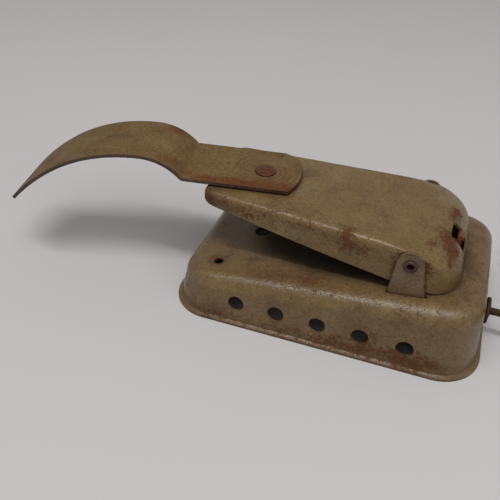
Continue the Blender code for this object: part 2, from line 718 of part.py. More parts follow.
def make_bottom():
    """Flat plate inside the lip, held by screws into four angle lugs on the side walls."""
    inset = BASE_SHEET + GAP
    outline = rounded_box(REAR_END - inset, BASE_WIDTH / 2 - inset, base_corner(BASE_SHEET))
    screw_y = SIDE_WALL - PLATE_SCREW_INSET
    spots = {}
    for end, x in (("front", -LUG_X), ("rear", LUG_X)):
        for side, sign in (("near", -1), ("far", 1)):
            spots[end + "_" + side] = (x, sign)
    holes = [circle((x, sign * screw_y), PLATE_SCREW_HEAD + GAP, 16) for x, sign in spots.values()]
    place("bottom_plate", sheet([outline] + holes, PLATE_SHEET, PLATE_SHEET / 2), STEEL)
    floor = PLATE_SHEET + GAP
    upper = floor + LUG_HEIGHT
    step = floor + LUG_SHEET
    inner = SIDE_WALL - LUG_SHEET
    tip = SIDE_WALL - LUG_REACH
    angle = [(SIDE_WALL, floor), (SIDE_WALL, upper), (inner, upper), (inner, step), (tip, step), (tip, floor)]
    shank = [(0, PLATE_SCREW_LENGTH), (PLATE_SCREW_SHANK, PLATE_SCREW_LENGTH),
             (PLATE_SCREW_SHANK, PLATE_SHEET)]
    head = [(PLATE_SCREW_HEAD, PLATE_SHEET), (PLATE_SCREW_HEAD, PLATE_SCREW_SINK), (0, PLATE_SCREW_SINK)]
    for spot, (x, sign) in spots.items():
        mesh = sheet([[(sign * y, z) for y, z in angle]], LUG_LENGTH, x, UPRIGHT_ACROSS)
        lug = place("fixing_lug_" + spot, mesh, STEEL)
        centre = (x, sign * screw_y, floor)
        bore = cylinder(PLATE_SCREW_SHANK + GAP, CUT, centre, steps=16)
        combine(lug, [bore], "DIFFERENCE", "lug_hole_" + spot)
        place("plate_screw_" + spot, moved(turned(shank + head, 16), (x, sign * screw_y, 0)), STEEL)
    return floor


def make_resistance(floor):
    """Wire-wound tube and guide rod between two end plates, with the slider that the arm pushes."""
    front_face = END_PLATE_FRONT + END_PLATE_SHEET / 2
    rear_face = END_PLATE_REAR - END_PLATE_SHEET / 2
    edge = WINDING_RADIUS + END_PLATE_MARGIN
    outline = box_outline(GUIDE_Y - END_PLATE_EDGE, RESISTOR_Y + edge, floor, RESISTOR_Z + edge)
    holes = [circle((GUIDE_Y, GUIDE_Z), GUIDE_RADIUS + GAP)]
    holes.append(circle((RESISTOR_Y, RESISTOR_Z), BOLT_RADIUS + GAP))
    for name, x in (("end_plate_front", END_PLATE_FRONT), ("end_plate_rear", END_PLATE_REAR)):
        place(name, sheet([outline] + holes, END_PLATE_SHEET, x, UPRIGHT_ACROSS), STEEL)
    middle = (front_face + rear_face) / 2
    span = rear_face - front_face
    guide_length = span + 2 * (END_PLATE_SHEET + GUIDE_PAST)
    place("guide_rod", cylinder(GUIDE_RADIUS, guide_length, (middle, GUIDE_Y, GUIDE_Z), ALONG_X), STEEL)
    centre = (middle, RESISTOR_Y, RESISTOR_Z)
    half = span / 2 - GAP
    bore = BOLT_RADIUS + BOLT_ROOM
    core = [(bore, half), (RESISTOR_RADIUS, half), (RESISTOR_RADIUS, -half), (bore, -half)]
    place("resistor_tube", moved(turned(core, 24, True), centre, ALONG_X), CERAMIC)
    reach = half - WINDING_MARGIN
    inside = RESISTOR_RADIUS + GAP
    wrap = [(inside, reach), (WINDING_RADIUS, reach), (WINDING_RADIUS, -reach), (inside, -reach)]
    place("resistor_winding", moved(turned(wrap, 24, True), centre, ALONG_X), BRASS)
    seat = span / 2 + END_PLATE_SHEET + GAP
    head = seat + BOLT_HEAD_HEIGHT
    bolt = [(0, head), (BOLT_HEAD, head), (BOLT_HEAD, seat), (BOLT_RADIUS, seat), (BOLT_RADIUS, -seat),
            (BOLT_HEAD, -seat), (BOLT_HEAD, -head), (0, -head)]
    place("resistor_bolt", moved(turned(bolt, 16), centre, ALONG_X), STEEL)


def make_slider():
    """Moulded slider on the guide rod, forked round the drive arm, with a carbon brush to the winding."""
    x = arm_x(GUIDE_Z, PEDAL_TILT)
    front, rear = (x - SLIDER_LENGTH / 2, x + SLIDER_LENGTH / 2)
    low, high = (GUIDE_Y - SLIDER_SIDE, GUIDE_Y + SLIDER_SIDE)
    prong = ARM_Y - ARM_WIDTH / 2
    outline = [(front, prong), (x - SLIDER_FORK, prong), (x - SLIDER_FORK, low), (x + SLIDER_FORK, low),
               (x + SLIDER_FORK, prong), (rear, prong), (rear, high), (front, high)]
    slider = place("contact_slider", sheet([outline], SLIDER_HEIGHT, GUIDE_Z), MOULDED)
    bore = cylinder(GUIDE_RADIUS + PIVOT_GAP, SLIDER_LENGTH + CUT, (x, GUIDE_Y, GUIDE_Z), ALONG_X)
    combine(slider, [bore], "DIFFERENCE", "slider_bore")
    start = high + GAP
    end = RESISTOR_Y - WINDING_RADIUS - GAP
    centre = (x, (start + end) / 2, RESISTOR_Z - BRUSH_RADIUS / 2)
    place("contact_brush", cylinder(BRUSH_RADIUS, end - start, centre, ALONG_Y, 16), CARBON)


def make_terminals(floor):
    """Moulded terminal block, its two screws, and the cord's two wires."""
    rear = REAR_END - TERMINAL_INSET
    near = LUG_REACH - SIDE_WALL + TERMINAL_ROOM
    outline = box_outline(rear - TERMINAL_LENGTH, rear, near, near + TERMINAL_WIDTH)
    top = floor + TERMINAL_HEIGHT
    place("terminal_block", sheet([outline], TERMINAL_HEIGHT, floor + TERMINAL_HEIGHT / 2), MOULDED)
    y = near + TERMINAL_WIDTH / 2
    cord_end = grommet_span()[0] - CORD_STUB
    for k, x in enumerate((rear - 3 * TERMINAL_LENGTH / 4, rear - TERMINAL_LENGTH / 4)):
        head = top + GAP + TERMINAL_SCREW_HEIGHT
        centre = (x, y, head - TERMINAL_SCREW_HEIGHT / 2)
        name = "front" if k == 0 else "rear"
        screw = cylinder(TERMINAL_SCREW, TERMINAL_SCREW_HEIGHT, centre, steps=16)
        place("terminal_screw_" + name, screw, BRASS)
        start = CORD_Y + (0.5 - k) * WIRE_SPREAD
        end = head + GAP + WIRE_RADIUS
        rise = CORD_Z + (2 * k - 1) * WIRE_ARCH
        route = [(cord_end - GAP, start, CORD_Z), (cord_end - WIRE_STRAIGHT, start, CORD_Z),
                 (x + 2 * TERMINAL_SCREW, (start + y) / 2, rise), (x, y + TERMINAL_SCREW, end + WIRE_RADIUS),
                 (x, y, end), (x, y - TERMINAL_SCREW / 2, end)]
        place("lead_wire_" + name, tube(route, WIRE_RADIUS, 1), CORD)


def grommet_span():
    """Inner and outer end of the grommet along X."""
    wall_x = REAR_END - wall_inset(CORD_Z)
    grip = WALL_LEAN + GROMMET_THICK
    return (wall_x - BASE_SHEET - grip, wall_x + grip)


def make_grommet():
    """Rubber bush that grips both faces of the rear wall round the cord."""
    back, face = grommet_span()
    outer = face - GROMMET_THICK
    inner = back + GROMMET_THICK
    bore = CORD_RADIUS + GAP
    profile = [(bore, face), (GROMMET_FLANGE - GROMMET_CHAMFER, face),
               (GROMMET_FLANGE, face - GROMMET_CHAMFER), (GROMMET_FLANGE, outer), (GROMMET_NECK, outer),
               (GROMMET_NECK, inner), (GROMMET_INNER, inner), (GROMMET_INNER, back), (bore, back)]
    place("cord_grommet", moved(turned(profile, 24, True), (0, CORD_Y, CORD_Z), ALONG_X), RUBBER)


def make_cord():
    """Lead from the grommet down to a tied coil, a short tail and its two-pin plug."""
    layer = TIE_SHEET + TIE_GAP + GAP + CORD_RADIUS
    fold = COIL_TURNS + 0.25
    outer = COIL_RADIUS + fold * COIL_STEP / 2
    centre = (COIL_X, CORD_Y + outer)
    diameter = 2 * CORD_RADIUS
    back, face = grommet_span()
    lead = [(back - CORD_STUB, CORD_Y, CORD_Z)]
    straight = face + diameter
    run = COIL_X - 2 * diameter - GAP - straight
    for k in range(19):
        share = k / 18
        lead.append((straight + run * share, CORD_Y, CORD_Z + (layer - CORD_Z) * eased(share)))
    lead.append((COIL_X - diameter - GAP, CORD_Y, layer))
    place("cord_lead", tube(lead, CORD_RADIUS, 2), CORD)
    loops = [(COIL_X - diameter, CORD_Y, layer)]
    for k in range(int(round(2 * fold * COIL_POINTS)) + 1):
        turns = k / COIL_POINTS
        radius = outer - COIL_STEP * (fold - abs(turns - fold))
        climb = min(1.0, max(0.0, (turns - COIL_TURNS) / 0.5))
        angle = 2 * math.pi * turns - math.pi / 2
        loops.append((centre[0] + radius * math.cos(angle), centre[1] + radius * math.sin(angle),
                      layer + COIL_STEP * eased(climb)))
    end = loops[-1]
    loops.append((end[0] - diameter, end[1], end[2]))
    place("cord_coil", tube(loops, CORD_RADIUS, 1), CORD)
    least = min((Vector(a) - Vector(b)).length for i, a in enumerate(loops) for b in loops[i + 8:])
    print("cord coil gap to itself", round(least - diameter, 5))
    start = loops[-1][0] - GAP
    tail = []
    for k in range(9):
        share = k / 8
        tail.append((start - TAIL_LENGTH * share, end[1] + TAIL_SHIFT * eased(share),
                     end[2] + (PLUG_RADIUS - end[2]) * eased(share)))
    place("cord_tail", tube(tail, CORD_RADIUS, 2), CORD)
    length = 0.0
    for route in (lead, loops, tail):
        length += sum((Vector(a) - Vector(b)).length for a, b in zip(route, route[1:]))
    print("cord length", round(length, 4))
    make_tie(centre, layer, fold)
    make_plug(start - TAIL_LENGTH - GAP, end[1] + TAIL_SHIFT)


def make_tie(centre, layer, fold):
    """Flat band round the coil's bundle of turns."""
    half_z = CORD_RADIUS + COIL_STEP / 2 + TIE_GAP
    half_r = CORD_RADIUS + fold * COIL_STEP / 2 + TIE_GAP
    middle = (centre[0] + COIL_RADIUS, layer + COIL_STEP / 2)
    loops = []
    for grow in (TIE_SHEET, 0.0):
        loop = rounded_box(half_r + grow, half_z + grow, CORD_RADIUS + grow, 4)
        loops.append([(middle[0] + x, middle[1] + z) for x, z in loop])
    place("cord_tie", sheet(loops, TIE_WIDTH, -centre[1], UPRIGHT_ALONG), RUBBER)


def make_plug(x, y):
    """Moulded two-pin plug lying beside the coil, its pins pointing away from it."""
    body = PLUG_RADIUS - PLUG_CLEAR
    profile = [(0, 0), (PLUG_NECK_RADIUS, 0), (PLUG_NECK_RADIUS, -PLUG_NECK), (body, -PLUG_NECK - PLUG_CONE),
               (body, -PLUG_LENGTH), (0, -PLUG_LENGTH)]
    place("plug_body", moved(turned(profile, 20), (x, y, PLUG_RADIUS), ALONG_X), MOULDED)
    middle = x - PLUG_LENGTH - GAP - PIN_LENGTH / 2
    for name, side in (("near", -1), ("far", 1)):
        centre = (middle, y + side * PIN_SPACING / 2, PLUG_RADIUS)
        place("plug_pin_" + name, cylinder(PIN_RADIUS, PIN_LENGTH, centre, ALONG_X, 12), BRASS)


make_base()
make_hinge()
pedal_axis = frame("pedal_axis", (HINGE_X, 0, HINGE_Z), (0, PEDAL_TILT, 0))
make_pedal(pedal_axis)
make_drive_arm(pedal_axis)
LEVER_TOP = PEDAL_TOP + 2 * GAP + WASHER_SHEET + LEVER_SHEET
lever_axis = frame("lever_axis", (-RIVET_S, 0, LEVER_TOP), (0, 0, LEVER_SWIVEL), pedal_axis)
make_lever(lever_axis)
make_rivet(pedal_axis, LEVER_TOP)
make_spring()
plate_floor = make_bottom()
make_resistance(plate_floor)
make_slider()
make_terminals(plate_floor)
make_grommet()
make_cord()
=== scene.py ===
import math

import bmesh
import bpy
from mathutils import Euler, Matrix, Vector


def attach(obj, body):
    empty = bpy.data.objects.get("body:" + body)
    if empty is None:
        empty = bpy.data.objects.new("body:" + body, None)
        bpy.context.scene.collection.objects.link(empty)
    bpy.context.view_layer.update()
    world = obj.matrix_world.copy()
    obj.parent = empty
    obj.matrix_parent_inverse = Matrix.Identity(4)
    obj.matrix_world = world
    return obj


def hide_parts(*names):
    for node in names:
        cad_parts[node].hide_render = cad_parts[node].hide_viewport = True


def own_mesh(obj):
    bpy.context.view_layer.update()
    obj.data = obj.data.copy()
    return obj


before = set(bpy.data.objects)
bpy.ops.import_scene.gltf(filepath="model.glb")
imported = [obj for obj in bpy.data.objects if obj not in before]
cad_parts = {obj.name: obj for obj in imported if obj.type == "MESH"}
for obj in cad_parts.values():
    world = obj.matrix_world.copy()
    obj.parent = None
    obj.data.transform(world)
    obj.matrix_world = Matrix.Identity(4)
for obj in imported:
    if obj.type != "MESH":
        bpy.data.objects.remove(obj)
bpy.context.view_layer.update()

# The view: a camera on the near side, above the lever's side, looking down at the pedal.
# Its lens, place and turn come from a fit to the base's lip, the vents, the pedal and the lever.
camera_place = Vector((0.04673, -0.28232, 0.25038))
camera_tilt = 0.671
camera_heading = 0.351
camera_roll = 0.008
camera_lens = 42.93
camera_film = 36

bpy.ops.object.camera_add()
camera = bpy.context.object
camera.data.lens = camera_lens
camera.data.sensor_width = camera_film
camera.data.clip_start = 0.01
facing = Euler((math.pi / 2 - camera_tilt, 0, camera_heading)).to_matrix().to_4x4()
roll = Matrix.Rotation(camera_roll, 4, "Z")
camera.matrix_world = Matrix.Translation(camera_place) @ facing @ roll
bpy.context.scene.camera = camera
bpy.context.scene.view_settings.view_transform = "Standard"


# Cord: round two-core lead under a brown woven cover, 1.3 m long.
# It leaves the grommet, falls to the floor and lies in a tied two-layer coil with its plug beside it.
cord_radius = 0.0021
cord_y = -0.0135
cord_z = 0.0202
cord_start = 0.078164
grommet_face = 0.089664
coil_x = 0.168
coil_layer = 0.0036
coil_step = 0.0047
coil_fold = 3.75
coil_outer = 0.0340125
coil_points = 48
climb_start = 3.5
climb_turns = 0.5
fall_steps = 36
tail_length = 0.0220
tail_shift = 0.0045
tail_steps = 18
gap = 0.0003
plug_height = 0.0085
diameter = 2 * cord_radius


def eased(share):
    """Smooth step from 0 to 1."""
    return share * share * (3 - 2 * share)


straight = grommet_face + diameter
run = coil_x - 2 * diameter - gap - straight
route = [(cord_start, cord_y, cord_z)]
for k in range(fall_steps + 1):
    share = k / fall_steps
    route.append((straight + run * share, cord_y, cord_z + (coil_layer - cord_z) * eased(share)))
coil_middle = (coil_x, cord_y + coil_outer)
for k in range(int(2 * coil_fold * coil_points) + 1):
    turns = k / coil_points
    radius = coil_outer - coil_step * (coil_fold - abs(turns - coil_fold))
    climb = eased(min(1.0, max(0.0, (turns - climb_start) / climb_turns)))
    angle = 2 * math.pi * turns - math.pi / 2
    route.append((coil_middle[0] + radius * math.cos(angle), coil_middle[1] + radius * math.sin(angle),
                  coil_layer + coil_step * climb))
coil_end = route[-1]
tail_start = coil_end[0] - diameter - gap
for k in range(tail_steps + 1):
    share = k / tail_steps
    route.append((tail_start - tail_length * share, coil_end[1] + tail_shift * eased(share),
                  coil_end[2] + (plug_height - coil_end[2]) * eased(share)))


def wire(name, points, radius):
    """A round wire or cord through a row of points."""
    data = bpy.data.curves.new(name, "CURVE")
    data.dimensions = "3D"
    data.bevel_depth = radius
    data.bevel_resolution = 4
    data.use_fill_caps = True
    spline = data.splines.new("POLY")
    spline.points.add(len(points) - 1)
    for point, place in zip(spline.points, points):
        point.co = (*place, 1)
    piece = bpy.data.objects.new(name, data)
    bpy.context.scene.collection.objects.link(piece)
    return piece


cord = wire("cord", route, cord_radius)


def fed(tree, node, feeds):
    """Feeds a shader node's sockets with values or other nodes' outputs."""
    for socket, value in feeds.items():
        if isinstance(value, bpy.types.NodeSocket):
            tree.links.new(value, node.inputs[socket])
        else:
            node.inputs[socket].default_value = value
    return node


def put(tree, kind, feeds=None, **options):
    """Adds a shader node with its options and feeds."""
    made = tree.nodes.new("ShaderNode" + kind)
    for option, value in options.items():
        setattr(made, option, value)
    return fed(tree, made, feeds or {})


def noise(tree, position, scale, detail=4.0, roughness=0.55):
    """Cloudy noise."""
    feeds = {"Vector": position, "Scale": scale, "Detail": detail, "Roughness": roughness}
    return put(tree, "TexNoise", feeds).outputs[0]


def graded(tree, value, start, end):
    """0 below start, 1 above end, smooth between."""
    feeds = {"Value": value, "From Min": start, "From Max": end}
    return put(tree, "MapRange", feeds, interpolation_type="SMOOTHSTEP").outputs["Result"]


def worked(tree, operation, first, second, clamp=False):
    """A sum, product or other working of two values."""
    feeds = {0: first, 1: second}
    return put(tree, "Math", feeds, operation=operation, use_clamp=clamp).outputs[0]


def scaled(tree, value, factor, offset=0.0):
    """A value times a factor, plus an offset."""
    return put(tree, "Math", {0: value, 1: factor, 2: offset}, operation="MULTIPLY_ADD").outputs[0]


def mixed(tree, share, low, high):
    """Blends two colours."""
    return put(tree, "Mix", {0: share, 6: low, 7: high}, data_type="RGBA").outputs[2]


def new_material(name):
    """An empty material with its Principled shader; gives the tree, the shader and Object coordinates."""
    material = bpy.data.materials.new(name)
    material.use_nodes = True
    tree = material.node_tree
    shader = tree.nodes["Principled BSDF"]
    position = put(tree, "TexCoord").outputs["Object"]
    return material, tree, shader, position


def bumped(tree, shader, height, strength, distance):
    """Gives a finish fine relief."""
    bump = put(tree, "Bump", {"Height": height, "Strength": strength, "Distance": distance})
    tree.links.new(bump.outputs["Normal"], shader.inputs["Normal"])


def woven_cover():
    """Aged brown braid: fine slanting threads, faded in places, darker between them."""
    material, tree, shader, position = new_material("woven_cord_cover")
    thread = put(tree, "TexWave", {"Vector": position, "Scale": 420.0, "Distortion": 1.5, "Detail": 1.0},
                 wave_type="BANDS", bands_direction="DIAGONAL").outputs["Fac"]
    fade = graded(tree, noise(tree, position, 90.0), 0.35, 0.7)
    colour = mixed(tree, fade, (0.028, 0.016, 0.008, 1), (0.070, 0.039, 0.017, 1))
    colour = mixed(tree, graded(tree, thread, 0.15, 0.0), colour, (0.022, 0.014, 0.009, 1))
    fed(tree, shader, {"Base Color": colour, "Roughness": 0.82, "Specular IOR Level": 0.15})
    bumped(tree, shader, thread, 0.5, 0.0002)
    return material


cover = woven_cover()
cord.data.materials.append(cover)
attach(cord, "base")
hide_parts("cord_lead", "cord_coil", "cord_tail")


# Plug: black moulded two-pin plug with a ribbed neck, and two turned brass pins with round ends.
# It lies beside the coil on the floor, its pins pointing along the base.
plug_x = tail_start - tail_length - gap
plug_y = coil_end[1] + tail_shift
plug_radius = 0.0081
plug_length = 0.0260
plug_neck = 0.0036
rib_count = 4
rib_pitch = 0.0012
pin_radius = 0.0020
pin_length = 0.0160
pin_spacing = 0.0127
both_sides = (("near", -1), ("far", 1))


def begin(name):
    """Takes the primitive just added as a new piece and opens it in edit mode."""
    piece = bpy.context.object
    piece.name = name
    piece.data.name = name
    bpy.ops.object.mode_set(mode="EDIT")
    bpy.ops.mesh.select_mode(type="VERT")
    return piece


def hold(piece):
    """Leaves edit mode with only this piece selected and active."""
    if bpy.context.object and bpy.context.object.mode == "EDIT":
        bpy.ops.object.mode_set(mode="OBJECT")
    bpy.ops.object.select_all(action="DESELECT")
    piece.select_set(True)
    bpy.context.view_layer.objects.active = piece


def settle(piece, place):
    """Moves a piece to its place and writes that into its mesh."""
    hold(piece)
    piece.matrix_world = place
    bpy.ops.object.transform_apply(location=True, rotation=True, scale=True)


def shaped(piece, kind, **settings):
    """Adds a modifier with its settings and applies it."""
    hold(piece)
    step = piece.modifiers.new(kind.lower(), kind)
    for setting, value in settings.items():
        setattr(step, setting, value)
    bpy.ops.object.modifier_apply(modifier=step.name)


def smoothed(piece, angle):
    """Shades faces that meet at less than an angle, in degrees, as one surface."""
    hold(piece)
    bpy.ops.object.shade_smooth_by_angle(angle=math.radians(angle))


def eased_edges(piece, width, segments=2, angle=45):
    """Rounds the sharp edges and shades the rest smooth."""
    shaped(piece, "BEVEL", width=width, segments=segments, limit_method="ANGLE",
           angle_limit=math.radians(angle), use_clamp_overlap=True)
    smoothed(piece, 32)
    shaped(piece, "WEIGHTED_NORMAL", keep_sharp=True)


def weld():
    """Joins corners of the open piece that lie in one place."""
    bpy.ops.mesh.select_all(action="SELECT")
    bpy.ops.mesh.remove_doubles(threshold=0.000002)


def turned(name, profile, steps=48):
    """Draws a profile of (radius, height) points vertex by vertex and spins it about Z."""
    bpy.ops.mesh.primitive_plane_add(size=0.001)
    piece = begin(name)
    bpy.ops.mesh.merge(type="CENTER")
    bpy.ops.transform.translate(value=(profile[0][0], 0, profile[0][1]))
    for (radius, height), (next_radius, next_height) in zip(profile, profile[1:]):
        step = (next_radius - radius, 0, next_height - height)
        bpy.ops.mesh.extrude_vertices_move(TRANSFORM_OT_translate={"value": step})
    bpy.ops.mesh.select_all(action="SELECT")
    bpy.ops.mesh.spin(steps=steps, angle=2 * math.pi, center=(0, 0, 0), axis=(0, 0, 1))
    weld()
    bpy.ops.mesh.normals_make_consistent(inside=False)
    hold(piece)
    return piece


def moulded_black():
    """Old pressed resin: near black, brown in places, scuffed dull on the ridges."""
    material, tree, shader, position = new_material("moulded_black")
    cloud = graded(tree, noise(tree, position, 160.0), 0.4, 0.7)
    colour = mixed(tree, cloud, (0.020, 0.017, 0.015, 1), (0.048, 0.036, 0.028, 1))
    scuff = noise(tree, position, 900.0, 5.0)
    fed(tree, shader, {"Base Color": colour, "Roughness": scaled(tree, scuff, 0.35, 0.24)})
    bumped(tree, shader, scuff, 0.15, 0.0001)
    return material


along_x = Matrix.Rotation(math.pi / 2, 4, "Y")
plug_profile = [(0, 0.0004), (0.0028, 0.0004), (plug_neck, 0)]
for k in range(rib_count):
    rib = -0.0008 - rib_pitch * k
    plug_profile += [(plug_neck, rib), (0.0031, rib - 0.0002), (0.0031, rib - 0.0006), (0.0037, rib - 0.0008)]
plug_profile += [(0.0040, -0.0058), (0.0058, -0.0088), (0.0074, -0.0118), (plug_radius, -0.0140),
                 (plug_radius, -0.0196), (0.0076, -0.0200), (0.0076, -0.0208), (plug_radius, -0.0212),
                 (plug_radius, -0.0252), (0.0074, -plug_length), (0, -plug_length)]
plug = turned("plug", plug_profile, 40)
settle(plug, Matrix.Translation((plug_x, plug_y, plug_height)) @ along_x)
eased_edges(plug, 0.0003, angle=25)
black = moulded_black()
plug.data.materials.append(black)
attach(plug, "base")
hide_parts("plug_body")


def clouded(name, tone, other, size, detail=4.0, span=(0.35, 0.7), roughness=0.7, metallic=0.0, specular=0.5,
            grain=1800.0, strength=0.25, depth=0.0001):
    """A finish of two tones in clouds of a size, with a fine grain in its surface."""
    material, tree, shader, position = new_material(name)
    cloud = graded(tree, noise(tree, position, size, detail), *span)
    colour = mixed(tree, cloud, (*tone, 1), (*other, 1))
    fed(tree, shader, {"Base Color": colour, "Roughness": roughness, "Metallic": metallic,
                       "Specular IOR Level": specular})
    bumped(tree, shader, noise(tree, position, grain), strength, depth)
    return material


# The pins' brass has gone brown and is brighter where it is rubbed.
brass = clouded("tarnished_brass", (0.46, 0.31, 0.11), (0.24, 0.15, 0.06), 420.0,
                roughness=0.38, metallic=0.9, grain=2600.0, strength=0.12, depth=0.00005)
pin_end = plug_x - plug_length - gap
for side, sign in both_sides:
    pin = turned("pin_" + side, [(0, 0), (pin_radius, 0), (pin_radius, -0.0138), (0.0017, -0.0151),
                                 (0.0010, -0.0158), (0, -pin_length)], 24)
    settle(pin, Matrix.Translation((pin_end, plug_y + sign * pin_spacing / 2, plug_height)) @ along_x)
    eased_edges(pin, 0.0002, angle=60)
    pin.data.materials.append(brass)
    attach(pin, "base")
    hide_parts("plug_pin_" + side)


# Tie: flat moulded rubber band, slipped over the coil's turns.
# It holds both layers of the coil together at the side away from the base.
tie_reach = 0.0252
tie_middle = Vector((coil_x + tie_reach, coil_middle[1], coil_layer + coil_step / 2))
tie_half = (0.0117, 0.00525)
tie_corner = 0.0025
tie_width = 0.0060
tie_sheet = 0.0008


def selected(piece, kind, rule):
    """Selects only those vertices, edges or faces of the open piece for which the rule holds."""
    bpy.ops.mesh.select_mode(type={"verts": "VERT", "edges": "EDGE", "faces": "FACE"}[kind])
    bpy.ops.mesh.select_all(action="DESELECT")
    shape = bmesh.from_edit_mesh(piece.data)
    for item in getattr(shape, kind):
        if rule(item):
            item.select_set(True)
    bmesh.update_edit_mesh(piece.data)


# Old rubber, brown-black, with a dusty bloom.
rubber = clouded("aged_rubber", (0.041, 0.024, 0.011), (0.068, 0.040, 0.020), 240.0, 6.0, (0.45, 0.75),
                 roughness=0.72, specular=0.15, grain=1800.0, strength=0.25)
bpy.ops.mesh.primitive_plane_add(size=1)
tie = begin("tie")
bpy.ops.transform.resize(value=(2 * tie_half[0], 2 * tie_half[1], 1), center_override=(0, 0, 0))
bpy.ops.mesh.bevel(offset=tie_corner, segments=6, affect="VERTICES")
bpy.ops.mesh.delete(type="ONLY_FACE")
bpy.ops.mesh.select_all(action="SELECT")
bpy.ops.transform.translate(value=(0, 0, -tie_width / 2))
bpy.ops.mesh.extrude_edges_move(TRANSFORM_OT_translate={"value": (0, 0, tie_width)})
bpy.ops.mesh.select_all(action="SELECT")
bpy.ops.mesh.normals_make_consistent(inside=False)
settle(tie, Matrix.Translation(tie_middle) @ Matrix.Rotation(math.pi / 2, 4, "X"))
shaped(tie, "SOLIDIFY", thickness=tie_sheet, offset=0)
eased_edges(tie, 0.0002, angle=50)
tie.data.materials.append(rubber)
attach(tie, "base")
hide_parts("cord_tie")


# Grommet: moulded rubber bush that grips both faces of the rear wall round the cord.
# Its outer flange shows as a dark disc on the wall.
grommet_back = 0.081664
flange = 0.0074
inner_flange = 0.0058
neck = 0.0042
bush = 0.0024
collar = 0.0034
collar_foot = 0.0036
collar_height = 0.0008
bore = cord_radius + 0.0001
grommet = turned("grommet", [(bore, grommet_face), (collar, grommet_face),
                             (collar_foot, grommet_face - collar_height),
                             (flange, grommet_face - collar_height), (flange, grommet_face - bush),
                             (neck, grommet_face - bush),
                             (neck, grommet_back + bush), (inner_flange, grommet_back + bush),
                             (inner_flange, grommet_back), (bore, grommet_back), (bore, grommet_face)], 40)
settle(grommet, Matrix.Translation((0, cord_y, cord_z)) @ along_x)
eased_edges(grommet, 0.0002, angle=30)
grommet.data.materials.append(rubber)
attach(grommet, "base")
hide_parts("cord_grommet")


# Base: shell drawn from 1.2 mm steel, stove enamelled grey-brown, its lip flared out over the floor.
# Vents, screw holes, slots for the hinge's ears and a hole for the grommet are punched through it.
base_length = 0.180
base_width = 0.1122
base_corner = 0.0239
base_sheet = 0.0012
top_front = 0.0249
top_rear = 0.0439
slope = math.atan2(top_rear - top_front, base_length)
shoulder = 0.0095
wall_draw = 0.0049
lip_flare = 0.0028
lip_edge = 0.0014
lip_ledge = 0.0011
lip_height = 0.0062
lip_steps = 6
ledge_rise = 0.0003
spare = 0.0001
vent_count = 5
vent_radius = 0.00475
vent_first = -0.0461
vent_pitch = 0.0240
vent_height = 0.0140
pilot_radius = 0.0050
pilot_x = -0.0478
screw_radius = 0.00275
screw_x = -0.0632
screw_y = 0.0349
rear_wall = 0.0851
arm_slot = (0.0066, 0.0072)
arm_slot_x = 0.0593
arm_y = -0.0040
through = 0.02
touching = 0.00002
right_across = 0.2


def base_top(x):
    """Height of the base's top plane."""
    return top_front + (top_rear - top_front) * (x / base_length + 0.5)


def raised(lift, inset_from, inset_to, height):
    """Extrudes the base's selected face upwards and draws it in."""
    bpy.ops.mesh.extrude_region_move(TRANSFORM_OT_translate={"value": (0, 0, lift)})
    along = (base_length / 2 - inset_to) / (base_length / 2 - inset_from)
    across = (base_width / 2 - inset_to) / (base_width / 2 - inset_from)
    bpy.ops.transform.resize(value=(along, across, 1), center_override=(0, 0, height))


def face_up(piece):
    """Faces the open piece all one way, with its largest face upwards."""
    selected(piece, "faces", lambda face: True)
    bpy.ops.mesh.normals_make_consistent(inside=False)
    largest = max(bmesh.from_edit_mesh(piece.data).faces, key=lambda face: face.calc_area())
    if largest.normal.z < 0:
        bpy.ops.mesh.flip_normals()


bpy.ops.mesh.primitive_plane_add(size=1)
base = begin("base_shell")
bpy.ops.transform.resize(value=(base_length, base_width, 1), center_override=(0, 0, 0))
bpy.ops.mesh.bevel(offset=base_corner, segments=14, affect="VERTICES")
bpy.ops.mesh.delete(type="ONLY_FACE")
selected(base, "edges", lambda edge: edge.calc_length() > base_corner)
bpy.ops.mesh.subdivide(number_cuts=23)
bpy.ops.mesh.select_all(action="SELECT")
bpy.ops.mesh.edge_face_add()
face_up(base)
raised(lip_edge, 0, 0, lip_edge)
height = lip_edge + ledge_rise
inset = lip_ledge
raised(height - lip_edge, 0, inset, height)
for k in range(1, lip_steps + 1):
    share = k / lip_steps
    next_height = lip_edge + (lip_height - lip_edge) * k / lip_steps
    next_inset = lip_ledge + (lip_flare - lip_ledge) * math.sqrt(1 - (1 - share) ** 2)
    raised(next_height - height, inset, next_inset, next_height)
    height = next_height
    inset = next_inset
middle_top = (top_front + top_rear) / 2
wall_top = middle_top - shoulder - spare
raised(wall_top - height, inset, wall_draw, wall_top)
bpy.ops.transform.rotate(value=slope, orient_axis="Y", center_override=(0, 0, wall_top))
stretch = 1 / math.cos(slope)
bpy.ops.transform.resize(value=(stretch, 1, stretch), center_override=(0, 0, wall_top))
bpy.ops.mesh.extrude_region_move(TRANSFORM_OT_translate={"value": (0, 0, shoulder + spare)})
selected(base, "edges", lambda edge: all(abs(v.co.z - base_top(v.co.x)) < touching for v in edge.verts))
bpy.ops.mesh.bevel(offset=shoulder, segments=9, affect="EDGES")
selected(base, "faces", lambda face: face.normal.z < -0.9 and face.calc_center_median().z < 0.0001)
bpy.ops.mesh.delete(type="FACE")
hold(base)
base.data.materials.append(None)
base.data.materials.append(None)
shaped(base, "SOLIDIFY", thickness=base_sheet, offset=-1, use_even_offset=True, material_offset=1)


def rod(radius, length, place, axis="Z", sides=40):
    """A cutter or plain bar along one axis."""
    turn = {"X": (0, math.pi / 2, 0), "Y": (math.pi / 2, 0, 0), "Z": (0, 0, 0)}[axis]
    bpy.ops.mesh.primitive_cylinder_add(vertices=sides, radius=radius, depth=length,
                                        location=place, rotation=turn)
    return bpy.context.object


